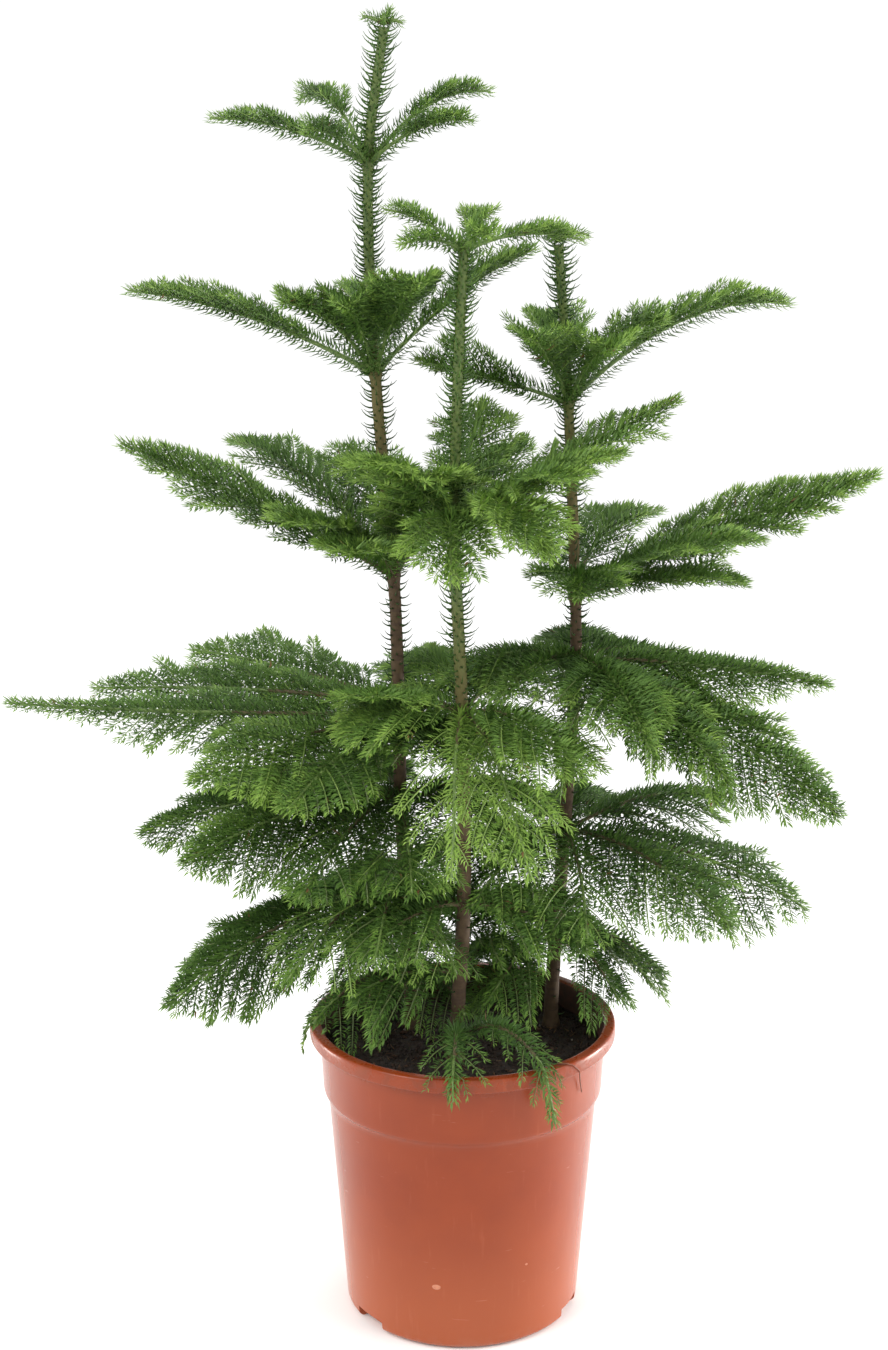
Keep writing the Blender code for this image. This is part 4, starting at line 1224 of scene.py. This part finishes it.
foliage = {
    # What a piece's name ends in: its stem, and its first and last tier from the top down
    "groups": {
        "left_top": ("left", 1, 4), "left_middle": ("left", 5, 7), "left_low": ("left", 8, 10),
        "middle": ("middle", 1, 6), "right_top": ("right", 1, 4), "right_low": ("right", 5, 8)},
    "twigTones": {
        "twigOld": ((0.085, 0.135, 0.036), (0.140, 0.190, 0.050)),
        "twigFresh": ((0.165, 0.275, 0.050), (0.225, 0.340, 0.065))},
    "twigSides": 3, "twigRough": 0.55, "twigScale": 300.0, "twigFreshFrom": 3.6,
    # Sprays are thinner where they are short, between two shares of the usual
    "usualSpray": 0.04, "thickness": (0.7, 1.1),
    # From the foot of a branch to its tip, and from one spray to the next
    "tipBrighter": 0.5, "toneSpread": 0.45, "axisDuller": 0.1,
    # By a branch's longest spray. On its sprays: needles to the metre, their length, and how
    # much they stand like a comb. On the branch itself: needles to the metre and their length.
    "perMetre": ((0.02, 0.036, 0.045, 0.058), (3100.0, 2800.0, 2150.0, 1850.0)),
    "length": ((0.02, 0.036, 0.055), (0.0072, 0.0082, 0.0090)),
    "comb": ((0.020, 0.048), (0.2, 0.90)),
    "axisPerMetre": ((0.007, 0.02, 0.055), (3900.0, 2500.0, 2100.0)),
    "axisLength": ((0.007, 0.02, 0.036), (0.0062, 0.0090, 0.0110)),
}


def branchTone(branch):
    # The height table puts painted shade on the low tiers, and the tone carries it into the needle and
    # twig colours
    form, height = needleForm, branch["height"]
    fresh = np.interp(height, form["heights"], form["freshnessAndShade"])
    lit = np.interp(height, form["litHeights"], form["litShares"])
    return fresh + branch["brighter"] + stems[branch["stem"]]["fresh"] * lit


def makeFoliage(crown, needleTones):
    table = foliage
    twigTones = [
        driftMaterial(name, table["twigRough"], tones, table["twigScale"])
        for name, tones in table["twigTones"].items()]
    t = np.linspace(0.0, 1.0, sprayForm["knots"])
    taper = sprayForm["rootRadius"] + (sprayForm["tipRadius"] - sprayForm["rootRadius"]) * t
    for group, (stem, low, high) in table["groups"].items():
        members = [b for b in crown if b["stem"] == stem and low <= b["tier"] <= high]
        rows = [(*spray, branchTone(branch), branch["spray"], branch["open"])
                for branch in members for spray in branch["sprays"]]
        columns = [np.array(column) for column in zip(*rows)]
        stay = keptOut(columns[0]) & clearOfStems(columns[0])
        paths, ups, lengths, places, values, longest, opens = (c[stay] for c in columns)
        thickness = np.clip(lengths / table["usualSpray"], *table["thickness"])
        radii = taper[None] * thickness[:, None]
        points, faces = tubes(paths, radii, ups, table["twigSides"])
        values = values + table["tipBrighter"] * (places - 0.5)
        values = values + rng.normal(0, table["toneSpread"], len(values))
        # A spray whose tone stays low, painted shade included, takes the older, darker twig colour
        slots = np.repeat(values > table["twigFreshFrom"], len(faces) // len(paths))
        finishPiece(makePiece("twigs_" + group, points, faces, twigTones, slots))
        perMetre = np.interp(longest, *table["perMetre"]) / opens
        # Needles are shorter on short sprays, and where they stand farther apart
        size = np.interp(longest, *table["length"]) / opens**0.4
        size = size * np.clip(0.7 + lengths / 0.05, 0.75, 1.0)
        comb = np.interp(longest, *table["comb"])
        grown = [needlesOn(
            paths, ups, radii, perMetre, size, values, flat=0.7, lift=0.20, comb=comb)]
        for branch in members:
            path, thick = branch["axis"]
            dense = np.interp(branch["spray"], *table["axisPerMetre"])
            long = np.interp(branch["spray"], *table["axisLength"])
            tone = branchTone(branch) - table["axisDuller"]
            grown.append(needlesOn(
                path[None], up3[None], thick[None], dense, long, tone,
                flat=0.95, lift=0.12, comb=0.0))
        slots = np.concatenate([tones for _, _, tones in grown])
        shape = joined([(points, faces) for points, faces, _ in grown])
        piece = makePiece("needles_" + group, *shape, needleTones, slots, smooth=False)
        replaced = sorted({"foliage_" + b["mass"] for b in members})
        finishPiece(piece, replaced)


awls = {
    # Share of the green height, from the foot up: how many to the metre, length and tone
    "places": (0.0, 0.25, 0.55, 0.85, 1.0, 1.3), "perMetre": (120, 260, 900, 1300, 1900, 2000),
    "lengths": (0.006, 0.007, 0.009, 0.0105, 0.0115, 0.0115),
    "tones": (0.3, 0.5, 1.0, 1.7, 2.4, 3.0), "brightest": 6,
    "knots": 5, "baseAngle": 80.0, "tipAngle": 18.0, "footRadius": 0.00082, "tipRadius": 0.00012,
    # Lower down they stand off by so many degrees more. How far one differs from the next: in
    # radians round the stem, in degrees of lean, in tones, and as shares of the length
    "footLean": 14.0, "turnSpread": 0.2, "leanSpread": 9.0, "toneSpread": 0.4,
    "lengthShares": (0.75, 1.15), "rooted": 0.0003, "lowest": 0.008, "highest": 0.001,
}


def makeStemNeedles(needleTones):
    # Awl-shaped leaves that curve up: crowded where a stem is green, sparse and dull lower down
    form = awls
    t = np.linspace(0.0, 1.0, form["knots"])
    taper = form["footRadius"] + (form["tipRadius"] - form["footRadius"]) * t
    curve = form["baseAngle"] + (form["tipAngle"] - form["baseAngle"]) * t
    shapes, slots = [], []
    for stem in stems:
        low, high = stemRange(stem)
        green = stems[stem]["green"][1] - low
        heights = [low + form["lowest"]]
        while heights[-1] < high - form["highest"]:
            share = (heights[-1] - low) / green
            heights.append(heights[-1] + 1.0 / np.interp(share, form["places"], form["perMetre"]))
        heights = np.array(heights)
        count = len(heights)
        turn = np.arange(count) * golden + rng.normal(0, form["turnSpread"], count)
        share = (heights - low) / green
        long = np.interp(share, form["places"], form["lengths"])
        long = long * rng.uniform(*form["lengthShares"], count)
        out = np.stack([np.cos(turn), np.sin(turn), np.zeros(count)], axis=1)
        root = stemRadius(stem, heights) - form["rooted"]
        base = stemCentre(stem, heights) + out * root[:, None]
        lean = rng.normal(0, form["leanSpread"], count)
        lean = lean + form["footLean"] * (1 - np.clip(share, 0, 1))
        angle = np.radians(curve[None] + lean[:, None])[..., None]
        step = long[:, None, None] / (form["knots"] - 1) * (
            out[:, None] * np.sin(angle) + up3 * np.cos(angle))
        paths = base[:, None] + np.concatenate(
            [np.zeros((count, 1, 3)), np.cumsum(step[:, :-1], axis=1)], axis=1)
        radii = np.repeat(taper[None], count, axis=0)
        points, faces = tubes(paths, radii, unit(np.cross(out, up3)), 3)
        shapes.append((points, faces))
        tone = np.interp(share, form["places"], form["tones"])
        tone = tone + rng.normal(0, form["toneSpread"], count)
        shade = np.clip(np.round(tone), 0, form["brightest"])
        slots.append(np.repeat(shade, len(faces) // count))
    piece = makePiece("stemNeedles", *joined(shapes), needleTones, np.concatenate(slots))
    finishPiece(piece)


def makeFloor():
    half, low = studio["floorSize"] / 2, -studio["floorDrop"]
    corners = [(-half, -half, low), (half, -half, low), (half, half, low), (-half, half, low)]
    material = driftMaterial("paleFloor", **studio["floorSkin"])
    floor = makePiece("floor", corners, np.array([(0, 1, 2), (0, 2, 3)]), [material], smooth=False)


makeCamera()
makeStudio()
makeToneDrift()
makeFineGrain()
makeStreaks()
makeGroundDust()
makeFloor()
print("camera, light and floor are in place")
makePot()
makePotMarks()
makeCompost()
makeRootlet()
print("pot and compost are made")
for stemName in stems:
    makeStem(stemName)
print("stems are made")
wholeCrown = growCrown()
makeBranches(wholeCrown)
needleMaterials = [
    newMaterial(name, needleForm["roughness"], Base_Color=colour,
                Specular_IOR_Level=needleForm["specular"])[0]
    for name, colour in needleForm["tones"].items()]
makeFoliage(wholeCrown, needleMaterials)
makeStemNeedles(needleMaterials)
print("foliage is made")
